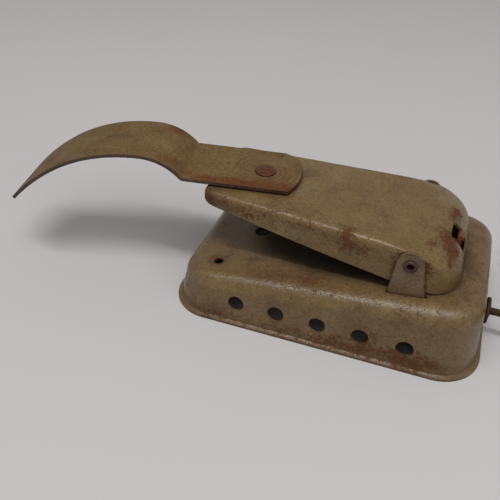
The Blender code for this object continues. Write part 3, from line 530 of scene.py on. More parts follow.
def block(size, place):
    """A cutter or plain bar with square corners."""
    bpy.ops.mesh.primitive_cube_add(size=1, location=place, scale=size)
    return bpy.context.object


def combined(piece, others, operation="DIFFERENCE"):
    """Cuts other closed bodies from a piece, or joins them to it."""
    for other in others:
        shaped(piece, "BOOLEAN", object=other, operation=operation, solver="EXACT")
        bpy.data.objects.remove(other)


hinge = Vector((0.0435, 0, 0.0580917))
ear_inner = 0.03725
ear_sheet = 0.0016
ear_foot = 0.0204
ear_middle = hinge.x + 0.0008
holes = [rod(vent_radius, right_across, (vent_first + vent_pitch * k, 0, vent_height), "Y")
         for k in range(vent_count)]
holes.append(rod(pilot_radius, through, (pilot_x, 0, base_top(pilot_x))))
ear_slot = (ear_foot + 2 * gap, ear_sheet + 2 * gap, through)
for sign in (-1, 1):
    holes.append(rod(screw_radius, through, (screw_x, sign * screw_y, base_top(screw_x)), sides=28))
    holes.append(block(ear_slot, (ear_middle, sign * (ear_inner + ear_sheet / 2), base_top(ear_middle))))
holes.append(rod(neck + gap, through, (rear_wall, cord_y, cord_z), "X"))
holes.append(block((*arm_slot, through), (arm_slot_x, arm_y, base_top(arm_slot_x))))
combined(base, holes)
eased_edges(base, 0.00035)


def new_group(name, inputs, outputs):
    """A shader node group with sockets by name and kind; gives the group and what goes into it."""
    group = bpy.data.node_groups.new(name, "ShaderNodeTree")
    for way, sockets in (("INPUT", inputs), ("OUTPUT", outputs)):
        for label, kind in sockets.items():
            group.interface.new_socket(label, in_out=way, socket_type="NodeSocket" + kind)
    return group, group.nodes.new("NodeGroupInput").outputs


def give(group, results):
    """Leads the results out of the group."""
    out = group.nodes.new("NodeGroupOutput").inputs
    for label, result in results.items():
        group.links.new(result, out[label])
    return group


def patch_group():
    """1 in the middle of a patch, 0 at its edge and beyond."""
    group, given = new_group("patch", {"Position": "Vector", "Middle": "Vector", "Reach": "Vector"},
                             {"Mask": "Float"})
    away = put(group, "VectorMath", {0: given["Position"], 1: given["Middle"]}, operation="SUBTRACT")
    share = put(group, "VectorMath", {0: away.outputs[0], 1: given["Reach"]}, operation="DIVIDE")
    length = put(group, "VectorMath", {0: share.outputs[0]}, operation="LENGTH").outputs["Value"]
    return give(group, {"Mask": worked(group, "SUBTRACT", 1.0, length, True)})


def rust_group():
    """Rust that breaks through where the tendency is high: mask, colour and height."""
    group, given = new_group(
        "rust", {"Position": "Vector", "Tendency": "Float", "Deep": "Color", "Bright": "Color"},
        {"Mask": "Float", "Colour": "Color", "Height": "Float"})
    broad = noise(group, given["Position"], 170.0, 6.0, 0.68)
    fine = noise(group, given["Position"], 560.0, 6.0, 0.72)
    level = worked(group, "ADD", scaled(group, broad, 1.7, -0.88), given["Tendency"])
    level = worked(group, "ADD", level, scaled(group, fine, 2.7, -1.37))
    mask = scaled(group, graded(group, level, 0.28, 0.68), 0.88)
    colour = mixed(group, graded(group, fine, 0.38, 0.66), given["Deep"], given["Bright"])
    return give(group, {"Mask": mask, "Colour": colour, "Height": worked(group, "MULTIPLY", mask, fine)})


def coat_group():
    """Old stove enamel: clouded tone, brown stains, fine mottling and pits; colour, roughness and height."""
    group, given = new_group(
        "enamel_coat", {"Position": "Vector", "Tone": "Color", "Pale": "Color", "Dark": "Color"},
        {"Colour": "Color", "Roughness": "Float", "Height": "Float"})
    position = given["Position"]
    cloud = noise(group, position, 62.0, 8.0, 0.66)
    stain = noise(group, position, 118.0, 7.0, 0.70)
    mottle = noise(group, position, 800.0, 4.0, 0.62)
    grain = noise(group, position, 2300.0, 2.0, 0.5)
    colour = mixed(group, graded(group, cloud, 0.32, 0.50), given["Dark"], given["Tone"])
    colour = mixed(group, graded(group, cloud, 0.50, 0.70), colour, given["Pale"])
    reddish = scaled(group, graded(group, stain, 0.52, 0.74), 0.62)
    colour = mixed(group, reddish, colour, (0.092, 0.042, 0.017, 1))
    cells = put(group, "TexVoronoi", {"Vector": position, "Scale": 300.0}).outputs["Distance"]
    pits = worked(group, "MULTIPLY", graded(group, cells, 0.17, 0.08), graded(group, stain, 0.46, 0.58))
    colour = mixed(group, scaled(group, pits, 0.75), colour, (0.040, 0.022, 0.014, 1))
    light = worked(group, "ADD", scaled(group, mottle, 1.5, -0.20), scaled(group, grain, 0.9))
    lit = put(group, "VectorMath", {0: colour, 3: light}, operation="SCALE").outputs[0]
    height = worked(group, "SUBTRACT", scaled(group, grain, 0.4), pits)
    return give(group, {"Colour": lit, "Roughness": scaled(group, stain, 0.60, -0.03),
                        "Height": worked(group, "ADD", height, mottle)})


def zinc_grey(name, pale, dull):
    """Dull zinc-plated steel, clouded and dusty."""
    return clouded(name, pale, dull, 120.0, 6.0, roughness=0.62, metallic=0.15, grain=1400.0, strength=0.15)


patch = patch_group()
rust = rust_group()
coat = coat_group()


def spotted(tree, position, middle, reach):
    """Adds the patch group to a material, its sizes given in millimetres; gives its mask."""
    metres = {"Middle": [v / 1000 for v in middle], "Reach": [v / 1000 for v in reach]}
    return put(tree, "Group", {"Position": position, **metres}, node_tree=patch).outputs["Mask"]


def rusted(tree, position, tendency, deep, bright):
    """Adds the rust group to a material; gives its outputs."""
    feeds = {"Position": position, "Tendency": tendency, "Deep": (*deep, 1), "Bright": (*bright, 1)}
    return put(tree, "Group", feeds, node_tree=rust).outputs


def blended(tree, share, low, high):
    """Blends two values."""
    return put(tree, "Mix", {0: share, 2: low, 3: high}, data_type="FLOAT").outputs[0]


def enamelled(name, tone, pale, dark, patches, edge_rust=0.30, deep=(0.046, 0.017, 0.009),
              bright=(0.125, 0.043, 0.015), bands=(), scores=(), shade_patches=(), gloss=0.40, matt=0.0):
    """Old enamel, rusty at its edges and in patches of (middle, reach, strength), in millimetres.

    Bands tint by height, scores are rings worn round a middle, shade patches are painted shade, darker and
    duller.
    """
    material, tree, shader, position = new_material(name)
    normal = put(tree, "NewGeometry").outputs["Normal"]
    rounded = put(tree, "Bevel", {"Radius": 0.0016}, samples=6).outputs["Normal"]
    likeness = put(tree, "VectorMath", {0: normal, 1: rounded}, operation="DOT_PRODUCT").outputs["Value"]
    tendency = scaled(tree, graded(tree, likeness, 0.995, 0.86), edge_rust)
    for middle, reach, strength in patches:
        tendency = scaled(tree, spotted(tree, position, middle, reach), strength, tendency)
    feeds = {"Position": position, "Tone": (*tone, 1), "Pale": (*pale, 1), "Dark": (*dark, 1)}
    paint = put(tree, "Group", feeds, node_tree=coat).outputs
    coated = paint["Colour"]
    height_above_floor = put(tree, "SeparateXYZ", {0: position}).outputs["Z"]
    broken = graded(tree, noise(tree, position, 60.0, 5.0), 0.30, 0.55)
    for low, high, soft, colour, share in bands:
        band = worked(tree, "MULTIPLY", graded(tree, height_above_floor, low - soft, low + soft),
                      graded(tree, height_above_floor, high + soft, high - soft))
        band = worked(tree, "MULTIPLY", band, scaled(tree, broken, share * 0.6, share * 0.4))
        coated = mixed(tree, band, coated, (*colour, 1))
    # Painted shade: each shade patch darkens the colour and makes it duller.
    shade_spots = []
    for middle, reach, share in shade_patches:
        painted_shade = scaled(tree, graded(tree, spotted(tree, position, middle, reach), 0.04, 0.36), share)
        coated = mixed(tree, painted_shade, coated, (0.018, 0.012, 0.008, 1))
        shade_spots.append(painted_shade)
    patchy = graded(tree, noise(tree, position, 48.0, 3.0), 0.40, 0.60)
    for middle, radius in scores:
        away = put(tree, "VectorMath", {0: position, 1: middle}, operation="DISTANCE").outputs["Value"]
        off = worked(tree, "ABSOLUTE", scaled(tree, away, 1.0, -radius), 0.0)
        score = worked(tree, "MULTIPLY", graded(tree, off, 0.0008, 0.0002), patchy)
        coated = mixed(tree, scaled(tree, score, 0.48), coated, (0.052, 0.030, 0.016, 1))
    stained = scaled(tree, graded(tree, tendency, 0.12, 0.90), 0.60)
    coated = mixed(tree, stained, coated, (0.078, 0.034, 0.012, 1))
    decay = rusted(tree, position, tendency, deep, bright)
    coated = mixed(tree, decay["Mask"], coated, decay["Colour"])
    # Pale specks where the paint is chipped at worn edges and patches; they are also painted glints along
    # those edges.
    cells = put(tree, "TexVoronoi", {"Vector": position, "Scale": 420.0}).outputs["Distance"]
    chips_and_glints = worked(tree, "MULTIPLY", graded(tree, cells, 0.17, 0.09), graded(tree, tendency, 0.18, 0.45))
    coated = mixed(tree, scaled(tree, chips_and_glints, 0.38), coated, (0.250, 0.190, 0.140, 1))
    # Painted shade: the colour is darkened where other surfaces come close, in crevices and between parts,
    # and made duller there.
    open_sky = put(tree, "AmbientOcclusion", {"Distance": 0.0042}, samples=6).outputs["AO"]
    crevice_shade = scaled(tree, graded(tree, open_sky, 0.80, 0.25), 0.85)
    coated = mixed(tree, crevice_shade, coated, (0.034, 0.017, 0.010, 1))
    dull = worked(tree, "MAXIMUM", decay["Mask"], crevice_shade)
    for painted_shade in shade_spots:
        dull = worked(tree, "MAXIMUM", dull, painted_shade)
    worn = scaled(tree, paint["Roughness"], 1.0, matt)
    fed(tree, shader, {"Base Color": coated, "Roughness": blended(tree, dull, worn, 0.85),
                       "Specular IOR Level": blended(tree, dull, gloss, 0.08)})
    bumped(tree, shader, scaled(tree, decay["Height"], 1.5, paint["Height"]), 0.55, 0.00035)
    return material


base.data.materials[1] = zinc_grey("base_inside", (0.80, 0.80, 0.76), (0.64, 0.63, 0.59))
base.data.materials[0] = enamelled(
    "base_enamel", (0.130, 0.083, 0.033), (0.158, 0.108, 0.049), (0.092, 0.054, 0.022),
    [((15, -54.5, 5), (80, 10, 8.5), 0.66),
     ((60, -51, 8), (26, 12, 12), 0.52),
     ((-60, -54.5, 4), (30, 10, 6), 0.45),
     ((-63.2, -34.9, 27.7), (9, 9, 6), 0.85),
     ((-47.8, 0, 29.4), (9, 9, 6), 0.60),
     ((47, -39, 39.5), (18, 4.5, 6), 0.55),
     ((-78, -42, 15), (14, 14, 12), 0.50),
     ((-20, -39, 33), (50, 11, 7), 0.58),
     ((-75, -15, 26.5), (12, 30, 6), 0.34),
     ((75, -20, 42), (12, 30, 8), 0.36),
     ((30, -53, 14), (40, 8, 10), 0.40),
     ((20, -49, 35), (70, 6, 8), 0.22),
     ((-20, 54.5, 5), (70, 10, 8), 0.60),
     ((60, 50, 12), (24, 12, 12), 0.46),
     ((86, 15, 7), (10, 30, 9), 0.56),
     ((-87, -10, 6), (10, 30, 7), 0.54),
     ((10, 43, 37), (60, 8, 6), 0.36),
     ((-63.2, 34.9, 27.7), (9, 9, 6), 0.80)],
    # The first band is a painted highlight along the lip's ledge; the second is a darker band just above it.
    bands=((-0.001, 0.0018, 0.0003, (0.122, 0.077, 0.034), 0.75),
           (0.0022, 0.0038, 0.0006, (0.060, 0.036, 0.020), 0.55)),
    # Painted shadow: the base's top under the pedal is darkened.
    shade_patches=[((12, 0, 36), (78, 42.5, 50), 0.85)], bright=(0.120, 0.046, 0.019))
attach(base, "base")
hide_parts("base_housing")


# Hinge bracket: steel strap under the base's top whose two ends are bent up as ears.
# The ears come up through slots in the base and are enamelled with it.
ear_round = 0.0071
ear_low = base_top(ear_middle) - 0.0030
ear_crowns = {-1: 0.0006, 1: -0.0010}
pivot_radius = 0.00275


def ear(name, sign):
    """One ear: a plate narrowed upwards to a half circle, with the pivot's hole through it."""
    middle = sign * (ear_inner + ear_sheet / 2)
    crown = hinge.z + ear_crowns[sign]
    bpy.ops.mesh.primitive_cube_add(size=1)
    piece = begin(name)
    bpy.ops.transform.resize(value=(ear_foot, ear_sheet, crown - ear_low), center_override=(0, 0, 0))
    bpy.ops.transform.translate(value=(ear_middle, middle, (crown + ear_low) / 2))
    selected(piece, "verts", lambda v: v.co.z > crown - 0.001)
    narrowing = 2 * ear_round / ear_foot
    bpy.ops.transform.resize(value=(narrowing, 1, 1), center_override=(ear_middle, middle, crown))
    bpy.ops.transform.translate(value=(hinge.x - ear_middle, 0, 0))
    hold(piece)
    combined(piece, [rod(ear_round, ear_sheet, (hinge.x, middle, crown), "Y", 64)], "UNION")
    combined(piece, [rod(pivot_radius, through, (hinge.x, middle, hinge.z), "Y", 32)])
    return piece


bracket = block((ear_foot * math.cos(slope), 2 * (ear_inner + ear_sheet) - 0.0002, ear_sheet), (0, 0, 0))
bracket.name = "bracket"
strap_height = base_top(ear_middle) - base_sheet / math.cos(slope) - gap - ear_sheet / 2
settle(bracket, Matrix.Translation((ear_middle, 0, strap_height)) @ Matrix.Rotation(-slope, 4, "Y"))
combined(bracket, [ear("ear_near", -1), ear("ear_far", 1)], "UNION")
eased_edges(bracket, 0.00025)
bracket.data.materials.clear()
bracket.data.materials.append(enamelled(
    "bracket_enamel", (0.126, 0.080, 0.041), (0.148, 0.098, 0.052), (0.090, 0.056, 0.030),
    [((43.5, -39.5, 58), (6.5, 4, 6.5), 0.62),
     ((43.5, -38.5, 67), (8, 4, 4), 0.42),
     ((54, -38.5, 48), (5, 4, 12), 0.45),
     ((43.5, 39.5, 58), (6.5, 4, 6.5), 0.62),
     ((34, 38.5, 48), (5, 4, 12), 0.45)],
    0.45, (0.034, 0.018, 0.012), (0.090, 0.040, 0.020)))
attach(bracket, "base")
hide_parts("hinge_bracket")


# Eyelets: hollow steel rivets rolled over on both sides, one through each ear and the pedal's side.
# The pedal turns on them; their paint is gone and they are brown with rust.
def rusted_steel(name, bright, brown, amount, metal=0.5, rust_bright=(0.130, 0.056, 0.026)):
    """Bare steel under brown rust, brighter where it is rubbed."""
    material, tree, shader, position = new_material(name)
    decay = rusted(tree, position, amount, (0.050, 0.026, 0.017), rust_bright)
    cloud = graded(tree, noise(tree, position, 500.0, 5.0), 0.35, 0.65)
    steel = mixed(tree, cloud, (*bright, 1), (*brown, 1))
    mask = decay["Mask"]
    fed(tree, shader, {"Base Color": mixed(tree, mask, steel, decay["Colour"]),
                       "Roughness": blended(tree, mask, 0.40, 0.82),
                       "Metallic": blended(tree, mask, metal, 0.0), "Specular IOR Level": 0.3})
    bumped(tree, shader, noise(tree, position, 1600.0, 4.0), 0.25, 0.0001)
    return material


rusty = rusted_steel("eyelet_steel", (0.052, 0.026, 0.018), (0.028, 0.015, 0.010), 0.40, 0.0,
                     (0.085, 0.040, 0.022))
eyelet_profile = [(0.0019, 0.0344), (0.0019, 0.0394), (0.0021, 0.0399), (0.0025, 0.03995), (0.0031, 0.0399),
                  (0.0035, 0.0396), (0.0036, 0.03925), (0.0034, 0.0391), (0.0026, 0.0391), (0.0026, 0.0352),
                  (0.0034, 0.0352), (0.0036, 0.0349), (0.0034, 0.0344), (0.0019, 0.0344)]
for side, sign in both_sides:
    eyelet = turned("rolled_eyelet_" + side, eyelet_profile, 36)
    settle(eyelet, Matrix.Translation(hinge) @ Matrix.Rotation(-sign * math.pi / 2, 4, "X"))
    smoothed(eyelet, 60)
    eyelet.data.materials.append(rusty)
    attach(eyelet, "base")
    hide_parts("eyelet_" + side)


# Pedal: tray pressed from 1.2 mm steel and turned over, with a domed heel and sides cut deeper at the hinge.
# It is enamelled like the base, and worn through to rust round its heel and its front corner.
pedal_tilt = math.radians(2)
pedal_top = 0.00785
pedal_front = 0.1197
pedal_rear = 0.0261
pedal_half_width = 0.03695
pedal_taper = 0.0635
pedal_sheet = 0.0012
pedal_edge = 0.0038
nose_corner = 0.0085
nose_depth = 0.0057
side_depth = 0.0150
side_bow = 0.0040
heel_start = 0.0140
heel_drop = 0.0007
heel_depth = 0.0157
heel_rise = 0.0013
heel_corner = 0.0151
dome_rise = 0.0186
dome_inset = 0.0169
dome_corner = 0.0295
dome_columns = 32
heel_columns = 8
side_rows = 4
edge_rows = 10
heel_slot_size = (0.0083, 0.0145, 0.04)
heel_slot_place = (0.02015, -0.0068, pedal_top)
pivot_hole = 0.0029
rivet_hole = 0.0033
rivet_run = 0.0914


def pedal_half(x):
    """Half width of the pedal: tapered in front of the hinge, straight behind it."""
    return pedal_half_width + pedal_taper * min(0.0, x)


def lower_edge(x):
    """Lower edge of the pedal's side: a shallow bow in front of the hinge, close over the base behind it."""
    if x > heel_start:
        return -heel_depth + heel_rise * (x - heel_start) / (pedal_rear - heel_start)
    if x > 0:
        return -side_depth - heel_drop * x / heel_start
    share = -x / pedal_front
    nose = pedal_top - nose_depth - pedal_sheet
    return -side_depth + (nose + side_depth) * share - side_bow * share * (1 - share)


def swept(middle, radius, start, end, steps):
    """Points on an arc, from one angle to another."""
    turns = [start + (end - start) * k / steps for k in range(steps + 1)]
    return [(middle[0] + radius * math.cos(t), middle[1] + radius * math.sin(t)) for t in turns]


def towards(points, end, steps):
    """Goes on from the last of the points to another point in equal steps."""
    x, y = points[-1]
    return points + [(x + (end[0] - x) * k / steps, y + (end[1] - y) * k / steps)
                     for k in range(1, steps + 1)]


def pedal_outline(inset, rear, corner):
    """Half of the pedal's plan, from the middle of the nose round to the middle of the heel."""
    lean = math.atan(pedal_taper)
    small = nose_corner - inset
    front = inset - pedal_front
    middle = rear - corner
    side = min(0.0, middle - nose_corner)
    nose_y = pedal_half(front) - inset - small
    heel_y = pedal_half(middle) - inset - corner
    run = towards([(front, 0.0)], (front, nose_y), 4)
    run += swept((front + small, nose_y), small, math.pi, math.pi / 2 + lean, 10)[1:]
    run = towards(run, (side, pedal_half(side) - inset), 30)
    turn = math.pi / 2 + (lean if middle < 0 else 0)
    heel = swept((middle, heel_y), corner, turn, 0, 24)
    run = towards(run, heel[0], 8) + heel[1:]
    return towards(run, (rear, 0.0), 8)


pedal_foot = pedal_outline(0.0, pedal_rear, heel_corner)
pedal_crown = pedal_outline(pedal_edge, pedal_rear - dome_inset, dome_corner)
half_count = len(pedal_foot)
pedal_rises = [pedal_edge] * (half_count - dome_columns - heel_columns)
for k in range(dome_columns):
    swell = math.sin(math.radians(90 * k / (dome_columns - 1))) ** 1.7
    pedal_rises.append(pedal_edge + (dome_rise - pedal_edge) * swell)
pedal_rises += [dome_rise] * heel_columns
pedal_columns = 2 * (half_count - 1)
pedal_rows = side_rows + edge_rows
bpy.ops.mesh.primitive_grid_add(x_subdivisions=pedal_columns, y_subdivisions=pedal_rows, size=1)
pedal = bpy.context.object
pedal.name = "pedal_tray"
for vertex in pedal.data.vertices:
    column = round((vertex.co.x + 0.5) * pedal_columns)
    row = round((vertex.co.y + 0.5) * pedal_rows)
    along = min(column, pedal_columns - column)
    sign = 1 if column < half_count else -1
    x, y = pedal_foot[along]
    crown_x, crown_y = pedal_crown[along]
    rise = pedal_rises[along]
    turn = math.radians(max(0, row - side_rows) * 90 / edge_rows)
    share = 1 - math.cos(turn)
    z = pedal_top - rise * (1 - math.sin(turn))
    if row < side_rows:
        z = lower_edge(x) + (pedal_top - rise - lower_edge(x)) * row / side_rows
    vertex.co = (x + (crown_x - x) * share, sign * (y + (crown_y - y) * share), z)
hold(pedal)
bpy.ops.object.mode_set(mode="EDIT")
weld()
selected(pedal, "edges",
         lambda edge: edge.is_boundary and all(v.co.z > pedal_top - touching for v in edge.verts))
bpy.ops.mesh.edge_face_add()
face_up(pedal)
hold(pedal)
pedal.data.materials.append(None)
pedal.data.materials.append(None)
shaped(pedal, "SOLIDIFY", thickness=pedal_sheet, offset=-1, use_even_offset=True, material_offset_rim=1)
heel_slot = block(heel_slot_size, heel_slot_place)
settle(heel_slot, heel_slot.matrix_world.copy())
shaped(heel_slot, "BEVEL", width=0.0024, segments=5, limit_method="ANGLE", angle_limit=math.radians(40))
combined(pedal, [rod(pivot_hole, right_across, (0, 0, 0), "Y", 32),
                 rod(rivet_hole, through, (-rivet_run, 0, pedal_top), "Z", 32), heel_slot])
eased_edges(pedal, 0.0003)
pedal_place = Matrix.Translation(hinge) @ Matrix.Rotation(pedal_tilt, 4, "Y")
settle(pedal, pedal_place)
pedal.data.materials[0] = enamelled(
    "pedal_enamel", (0.135, 0.085, 0.031), (0.162, 0.108, 0.045), (0.100, 0.059, 0.022),
    [((61.5, -28, 59), (8, 12, 13), 0.66),
     ((60.5, -19, 62.5), (7, 12, 9), 0.66),
     ((55, -14, 65.5), (8, 9, 7), 0.66),
     ((52, -25, 65), (7, 8, 6), 0.62),
     ((59.5, 9, 64), (8, 10, 8), 0.66),
     ((63.5, -6, 61), (14, 24, 18), 0.44),
     ((43.5, -37, 56), (15, 4, 15), 1.25),
     ((-73.5, -26.5, 65), (10, 10, 10), 0.98),
     ((-56, -30, 64), (18, 5, 7), 0.44),
     ((-15, -34, 64), (30, 4, 5), 0.46),
     ((12, -35, 60), (20, 4, 9), 0.68),
     ((8, -31, 66.5), (9, 5, 4), 0.75),
     ((-40, -31, 62), (25, 4, 7), 0.36),
     ((-30, -28, 67), (50, 5, 4), 0.42),
     ((-25, 33, 62), (32, 4.5, 8), 0.52),
     ((43.5, 37, 56), (14, 4, 14), 1.10),
     ((15, 33, 66), (26, 5, 4), 0.50),
     ((-74.5, 24, 64), (8, 10, 9), 0.70)],
    # Painted shade darkens the pedal's nose.
    shade_patches=[((-78, -23, 61.5), (30, 18, 15), 0.32)])
pedal.data.materials[1] = enamelled(
    "pedal_cut_edge", (0.060, 0.042, 0.026), (0.075, 0.052, 0.034), (0.036, 0.024, 0.016), [], 0.50)
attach(pedal, "pedal")
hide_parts("pedal")


# Drive arm: rusted steel strip welded under the pedal, its rolled tab caught in the heel's slot.
# Its long end goes down through the base's top and pushes the slider.
arm_sheet = 0.0016
arm_width = 0.0060
arm_x = 0.0145
arm_end = 0.0080 - hinge.z
arm_head = pedal_top - 0.00285
tab_height = pedal_top - 0.0118
tab_length = 0.0086
tab_middle = 0.0180
tab_end = 0.0216
tab_lift = 0.0024
tab_rise = 0.0050
curl_radius = 0.0017
curl_width = 0.0056
curl_x = 0.0215
arm = block((arm_sheet, arm_width, arm_head - arm_end), (arm_x, arm_y, (arm_head + arm_end) / 2))
arm.name = "arm"
settle(arm, arm.matrix_world.copy())
combined(arm, [block((tab_length, arm_width, arm_sheet), (tab_middle, arm_y, tab_height)),
               block((arm_sheet, arm_width, tab_rise), (tab_end, arm_y, tab_height + tab_lift)),
               rod(curl_radius, curl_width, (curl_x, arm_y, tab_height + tab_rise), "Y", 24)], "UNION")
eased_edges(arm, 0.0006, segments=4, angle=40)
settle(arm, pedal_place)
arm.data.materials.clear()
arm.data.materials.append(rusted_steel("arm_rust", (0.170, 0.046, 0.019), (0.100, 0.029, 0.013), 0.40, 0.0,
                                       (0.225, 0.058, 0.022)))
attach(arm, "pedal")
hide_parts("drive_arm")


# Lever: 2 mm steel strip, flat where it swivels on the pedal, kicked up in front of it.
# Past the kick it is rolled into one long curve down to a round tip; enamelled, rusty along its edges.
lever_sheet = 0.0020
lever_half = 0.0207
lever_offset = 0.0026
lever_rear = 0.0210
lever_flat = 0.0450
lever_kick = math.radians(49)
lever_bends = ((0.0320, 0.0320 * lever_kick), (0.1020, 0.0570), (0.1420, 0.0465))
lever_swivel = math.radians(10.7)
lever_top = 0.01095
rear_round = 0.0390
tip_round = 0.0300
corner_start = 0.0110
corner_cut = 0.0060
corner_power = 2.2


def lever_section(length):
    """Distance from the rivet and height of the strip's top at a length along it."""
    if length <= lever_flat:
        return (length, 0.0)
    rest = length - lever_flat
    place, rise, lean = (lever_flat, 0.0, lever_kick)
    for radius, run in lever_bends:
        step = min(rest, run)
        end = lean - step / radius
        place += radius * (math.sin(lean) - math.sin(end))
        rise += radius * (math.cos(end) - math.cos(lean))
        lean = end
        rest -= step
    return (place, rise)


lever_length = lever_flat + sum(run for radius, run in lever_bends)
bpy.ops.mesh.primitive_grid_add(x_subdivisions=150, y_subdivisions=22, size=1)
lever = bpy.context.object
lever.name = "lever_strip"
for vertex in lever.data.vertices:
    share = 0.5 - vertex.co.x
    y = 2 * lever_half * vertex.co.y
    first = -lever_rear + rear_round - math.sqrt(rear_round ** 2 - y ** 2)
    first += corner_cut * (max(0.0, y - corner_start) / (lever_half - corner_start)) ** corner_power
    last = lever_length - tip_round + math.sqrt(tip_round ** 2 - y ** 2)
    place, rise = lever_section(first + (last - first) * share)
    vertex.co = (-place, y + lever_offset, rise)
lever.data.materials.append(None)
lever.data.materials.append(None)
shaped(lever, "SOLIDIFY", thickness=lever_sheet, offset=-1, use_even_offset=True, material_offset_rim=1)
combined(lever, [rod(rivet_hole, through, (0, 0, 0), "Z", 32)])
eased_edges(lever, 0.0004, segments=3, angle=60)
rivet_place = pedal_place @ Matrix.Translation((-rivet_run, 0, lever_top))
settle(lever, rivet_place @ Matrix.Rotation(lever_swivel, 4, "Z"))
lever.data.materials[0] = enamelled(
    "lever_enamel", (0.124, 0.078, 0.030), (0.150, 0.101, 0.044), (0.092, 0.055, 0.021),
    [((-80, -22.2, 73.5), (12, 6, 6), 0.62),
     ((-68, -19.5, 73), (14, 7, 6), 0.92),
     ((-54, -17, 72.5), (14, 7.5, 6), 0.98),
     ((-40, -14.5, 72.2), (14, 8, 6), 0.98),
     ((-29, -11, 72), (8, 9, 6), 0.82),
     ((-47.4, 0, 72.5), (17, 16, 4), 0.42),
     ((-105.3, 9.9, 83), (10, 8, 8), 0.90),
     ((-99, -22, 78), (14, 8, 9), 0.76),
     ((-150, -30, 85), (50, 6, 12), 0.50),
     ((-156, -5, 86), (30, 7, 10), 0.44),
     ((-62, 20, 73), (20, 5, 6), 0.46),
     ((-201, -30, 56), (9, 22, 12), 0.62)],
    0.35, (0.066, 0.024, 0.010), (0.165, 0.055, 0.018),
    scores=[((-0.0475, 0.0, 0.0712), radius) for radius in (0.0088, 0.0118, 0.0152, 0.0185)],
    gloss=0.16, matt=0.34)
lever.data.materials[1] = enamelled(
    "lever_cut_edge", (0.046, 0.026, 0.018), (0.062, 0.036, 0.025), (0.026, 0.016, 0.012), [], 0.40)
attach(lever, "lever")
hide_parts("lever")


# Rivet and washer: a round-headed steel rivet holds the lever down on the pedal, a thin washer between.
# The head is bare and brown with rust, polished a little by feet.
rivet_base = lever_top + gap
rivet_end = pedal_top - pedal_sheet - gap
head_radius = 0.0061
head_edge = 0.0004
head_rise = 0.0012
shank_radius = 0.0030
dome = []
for k in range(11):
    angle = math.radians(9 * k)
    dome.append((head_radius * math.sin(angle), rivet_base + head_edge + head_rise * math.cos(angle)))
rivet = turned("rivet", dome + [(0.0058, rivet_base), (shank_radius, rivet_base), (shank_radius, rivet_end),
                                (0.0050, rivet_end), (0.0052, rivet_end - 0.0004),
                                (0.0044, rivet_end - 0.0012), (0, rivet_end - 0.0014)], 48)
settle(rivet, pedal_place @ Matrix.Translation((-rivet_run, 0, 0)))
smoothed(rivet, 40)
rivet_steel = rusted_steel("rivet_steel", (0.112, 0.036, 0.014), (0.060, 0.020, 0.008), 0.14, 0.3)
rivet.data.materials.append(rivet_steel)
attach(rivet, "pedal")
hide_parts("lever_rivet")


# Return spring: compression spring of round steel wire, standing in a cupped seat on the base's top.
# It pushes the pedal up and is squeezed as the pedal goes down.
spring_x = 0.0135
spring_radius = 0.0070
spring_wire = 0.0009
spring_foot = 0.03936
spring_head = 0.06431
spring_turns = 6
spring_points = 240
winding = []
for k in range(spring_points + 1):
    turn = 2 * math.pi * spring_turns * k / spring_points
    rise = spring_foot + (spring_head - spring_foot) * k / spring_points
    winding.append((spring_x + spring_radius * math.cos(turn), spring_radius * math.sin(turn), rise))
spring = wire("spring", winding, spring_wire)
hold(spring)
bpy.ops.object.convert(target="MESH")
spring = bpy.context.object
bpy.ops.object.mode_set(mode="EDIT")
weld()
bpy.ops.mesh.normals_make_consistent(inside=False)
smoothed(spring, 50)
spring_steel = rusted_steel("spring_wire", (0.30, 0.28, 0.25), (0.16, 0.11, 0.08), 0.10, 0.75)
spring.data.materials.append(spring_steel)
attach(spring, "base")
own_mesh(spring)
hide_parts("return_spring")


# Works inside the base: plated steel frame and fixings, a wire-wound ceramic tube and a moulded slider.
# Their solids are right as they are, so they stay and take their finishes.
def resistance_wire():
    """Fine oxidised wire wound in close turns along X."""
    material, tree, shader, position = new_material("resistance_wire")
    turns = put(tree, "TexWave", {"Vector": position, "Scale": 640.0}, bands_direction="X").outputs["Fac"]
    heat = graded(tree, noise(tree, position, 90.0), 0.35, 0.7)
    colour = mixed(tree, heat, (0.30, 0.22, 0.13, 1), (0.14, 0.11, 0.10, 1))
    colour = mixed(tree, graded(tree, turns, 0.3, 0.0), colour, (0.03, 0.025, 0.02, 1))
    fed(tree, shader, {"Base Color": colour, "Metallic": 0.8, "Roughness": 0.45})
    bumped(tree, shader, turns, 0.8, 0.0002)
    return material


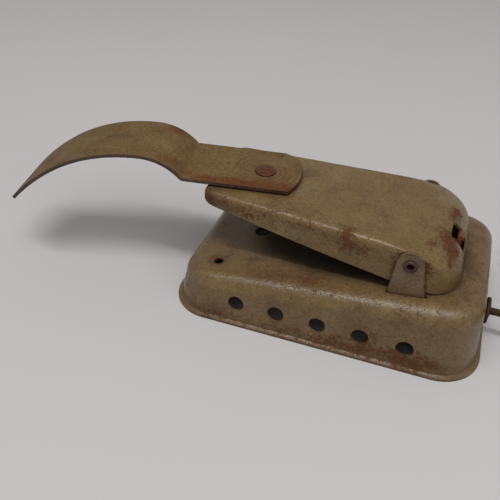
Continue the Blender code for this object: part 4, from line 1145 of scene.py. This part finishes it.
# The tube's ceramic is unglazed, cream and stained by heat; the brush is grey-black with a rubbed sheen.
ceramic = clouded("bare_ceramic", (0.66, 0.60, 0.50), (0.40, 0.31, 0.22), 180.0, 6.0, (0.45, 0.75),
                  roughness=0.7, grain=2200.0, strength=0.3)
carbon = clouded("pressed_carbon", (0.018, 0.018, 0.018), (0.05, 0.05, 0.05), 700.0, 5.0, (0.4, 0.7),
                 roughness=0.55, grain=2600.0, strength=0.2)
plated = zinc_grey("plated_steel", (0.31, 0.30, 0.27), (0.21, 0.19, 0.16))
works = {
    "bottom_plate": plated, "spring_seat": plated, "end_plate_front": plated, "end_plate_rear": plated,
    "guide_rod": plated, "resistor_bolt": plated, "lever_washer": plated,
    "resistor_tube": ceramic, "resistor_winding": resistance_wire(), "contact_brush": carbon,
    "terminal_block": black, "contact_slider": black,
    "terminal_screw_front": brass, "terminal_screw_rear": brass,
    "lead_wire_front": cover, "lead_wire_rear": cover}
for end in ("front", "rear"):
    for side in ("near", "far"):
        works["fixing_lug_" + end + "_" + side] = plated
        works["plate_screw_" + end + "_" + side] = plated
for name, finish in works.items():
    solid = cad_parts[name]
    solid.data.materials.clear()
    solid.data.materials.append(finish)


# Floor and light: a plain pale floor, a large soft lamp in front, a long strip lamp whose light
# runs along the rounded edges, and a weak fill from the cord's side.
bpy.ops.mesh.primitive_plane_add(size=6)
floor = bpy.context.object
floor.name = "floor"
material, tree, shader, position = new_material("pale_floor")
tint = mixed(tree, noise(tree, position, 3.0), (0.485, 0.468, 0.466, 1), (0.515, 0.498, 0.496, 1))
fed(tree, shader, {"Base Color": tint, "Roughness": 0.9})
floor.data.materials.append(material)

world = bpy.context.scene.world or bpy.data.worlds.new("world")
bpy.context.scene.world = world
world.use_nodes = True
sky = world.node_tree
fed(sky, sky.nodes["Background"], {"Color": (1.0, 0.985, 0.965, 1), "Strength": 0.39})


def lamp(name, place, target, length, width, power):
    """A soft lamp of a length across and a width, facing a point."""
    bpy.ops.object.light_add(type="AREA", location=place)
    light = bpy.context.object
    light.name = name
    light.data.shape = "RECTANGLE"
    light.data.size = length
    light.data.size_y = width
    light.data.energy = power
    away = Vector(place) - Vector(target)
    light.rotation_euler = away.to_track_quat("Z", "Y").to_euler()


lamp("soft_key", place=(0.34, -0.80, 1.72), target=(-0.03, 0, 0.04), length=1.60, width=1.60, power=10.2)
lamp("highlight", place=(-0.09, -0.40, 1.34), target=(-0.03, 0, 0.04), length=1.00, width=0.08, power=8.8)
lamp("side_fill", place=(0.86, -0.42, 0.66), target=(0, 0, 0.04), length=0.40, width=0.40, power=1.2)
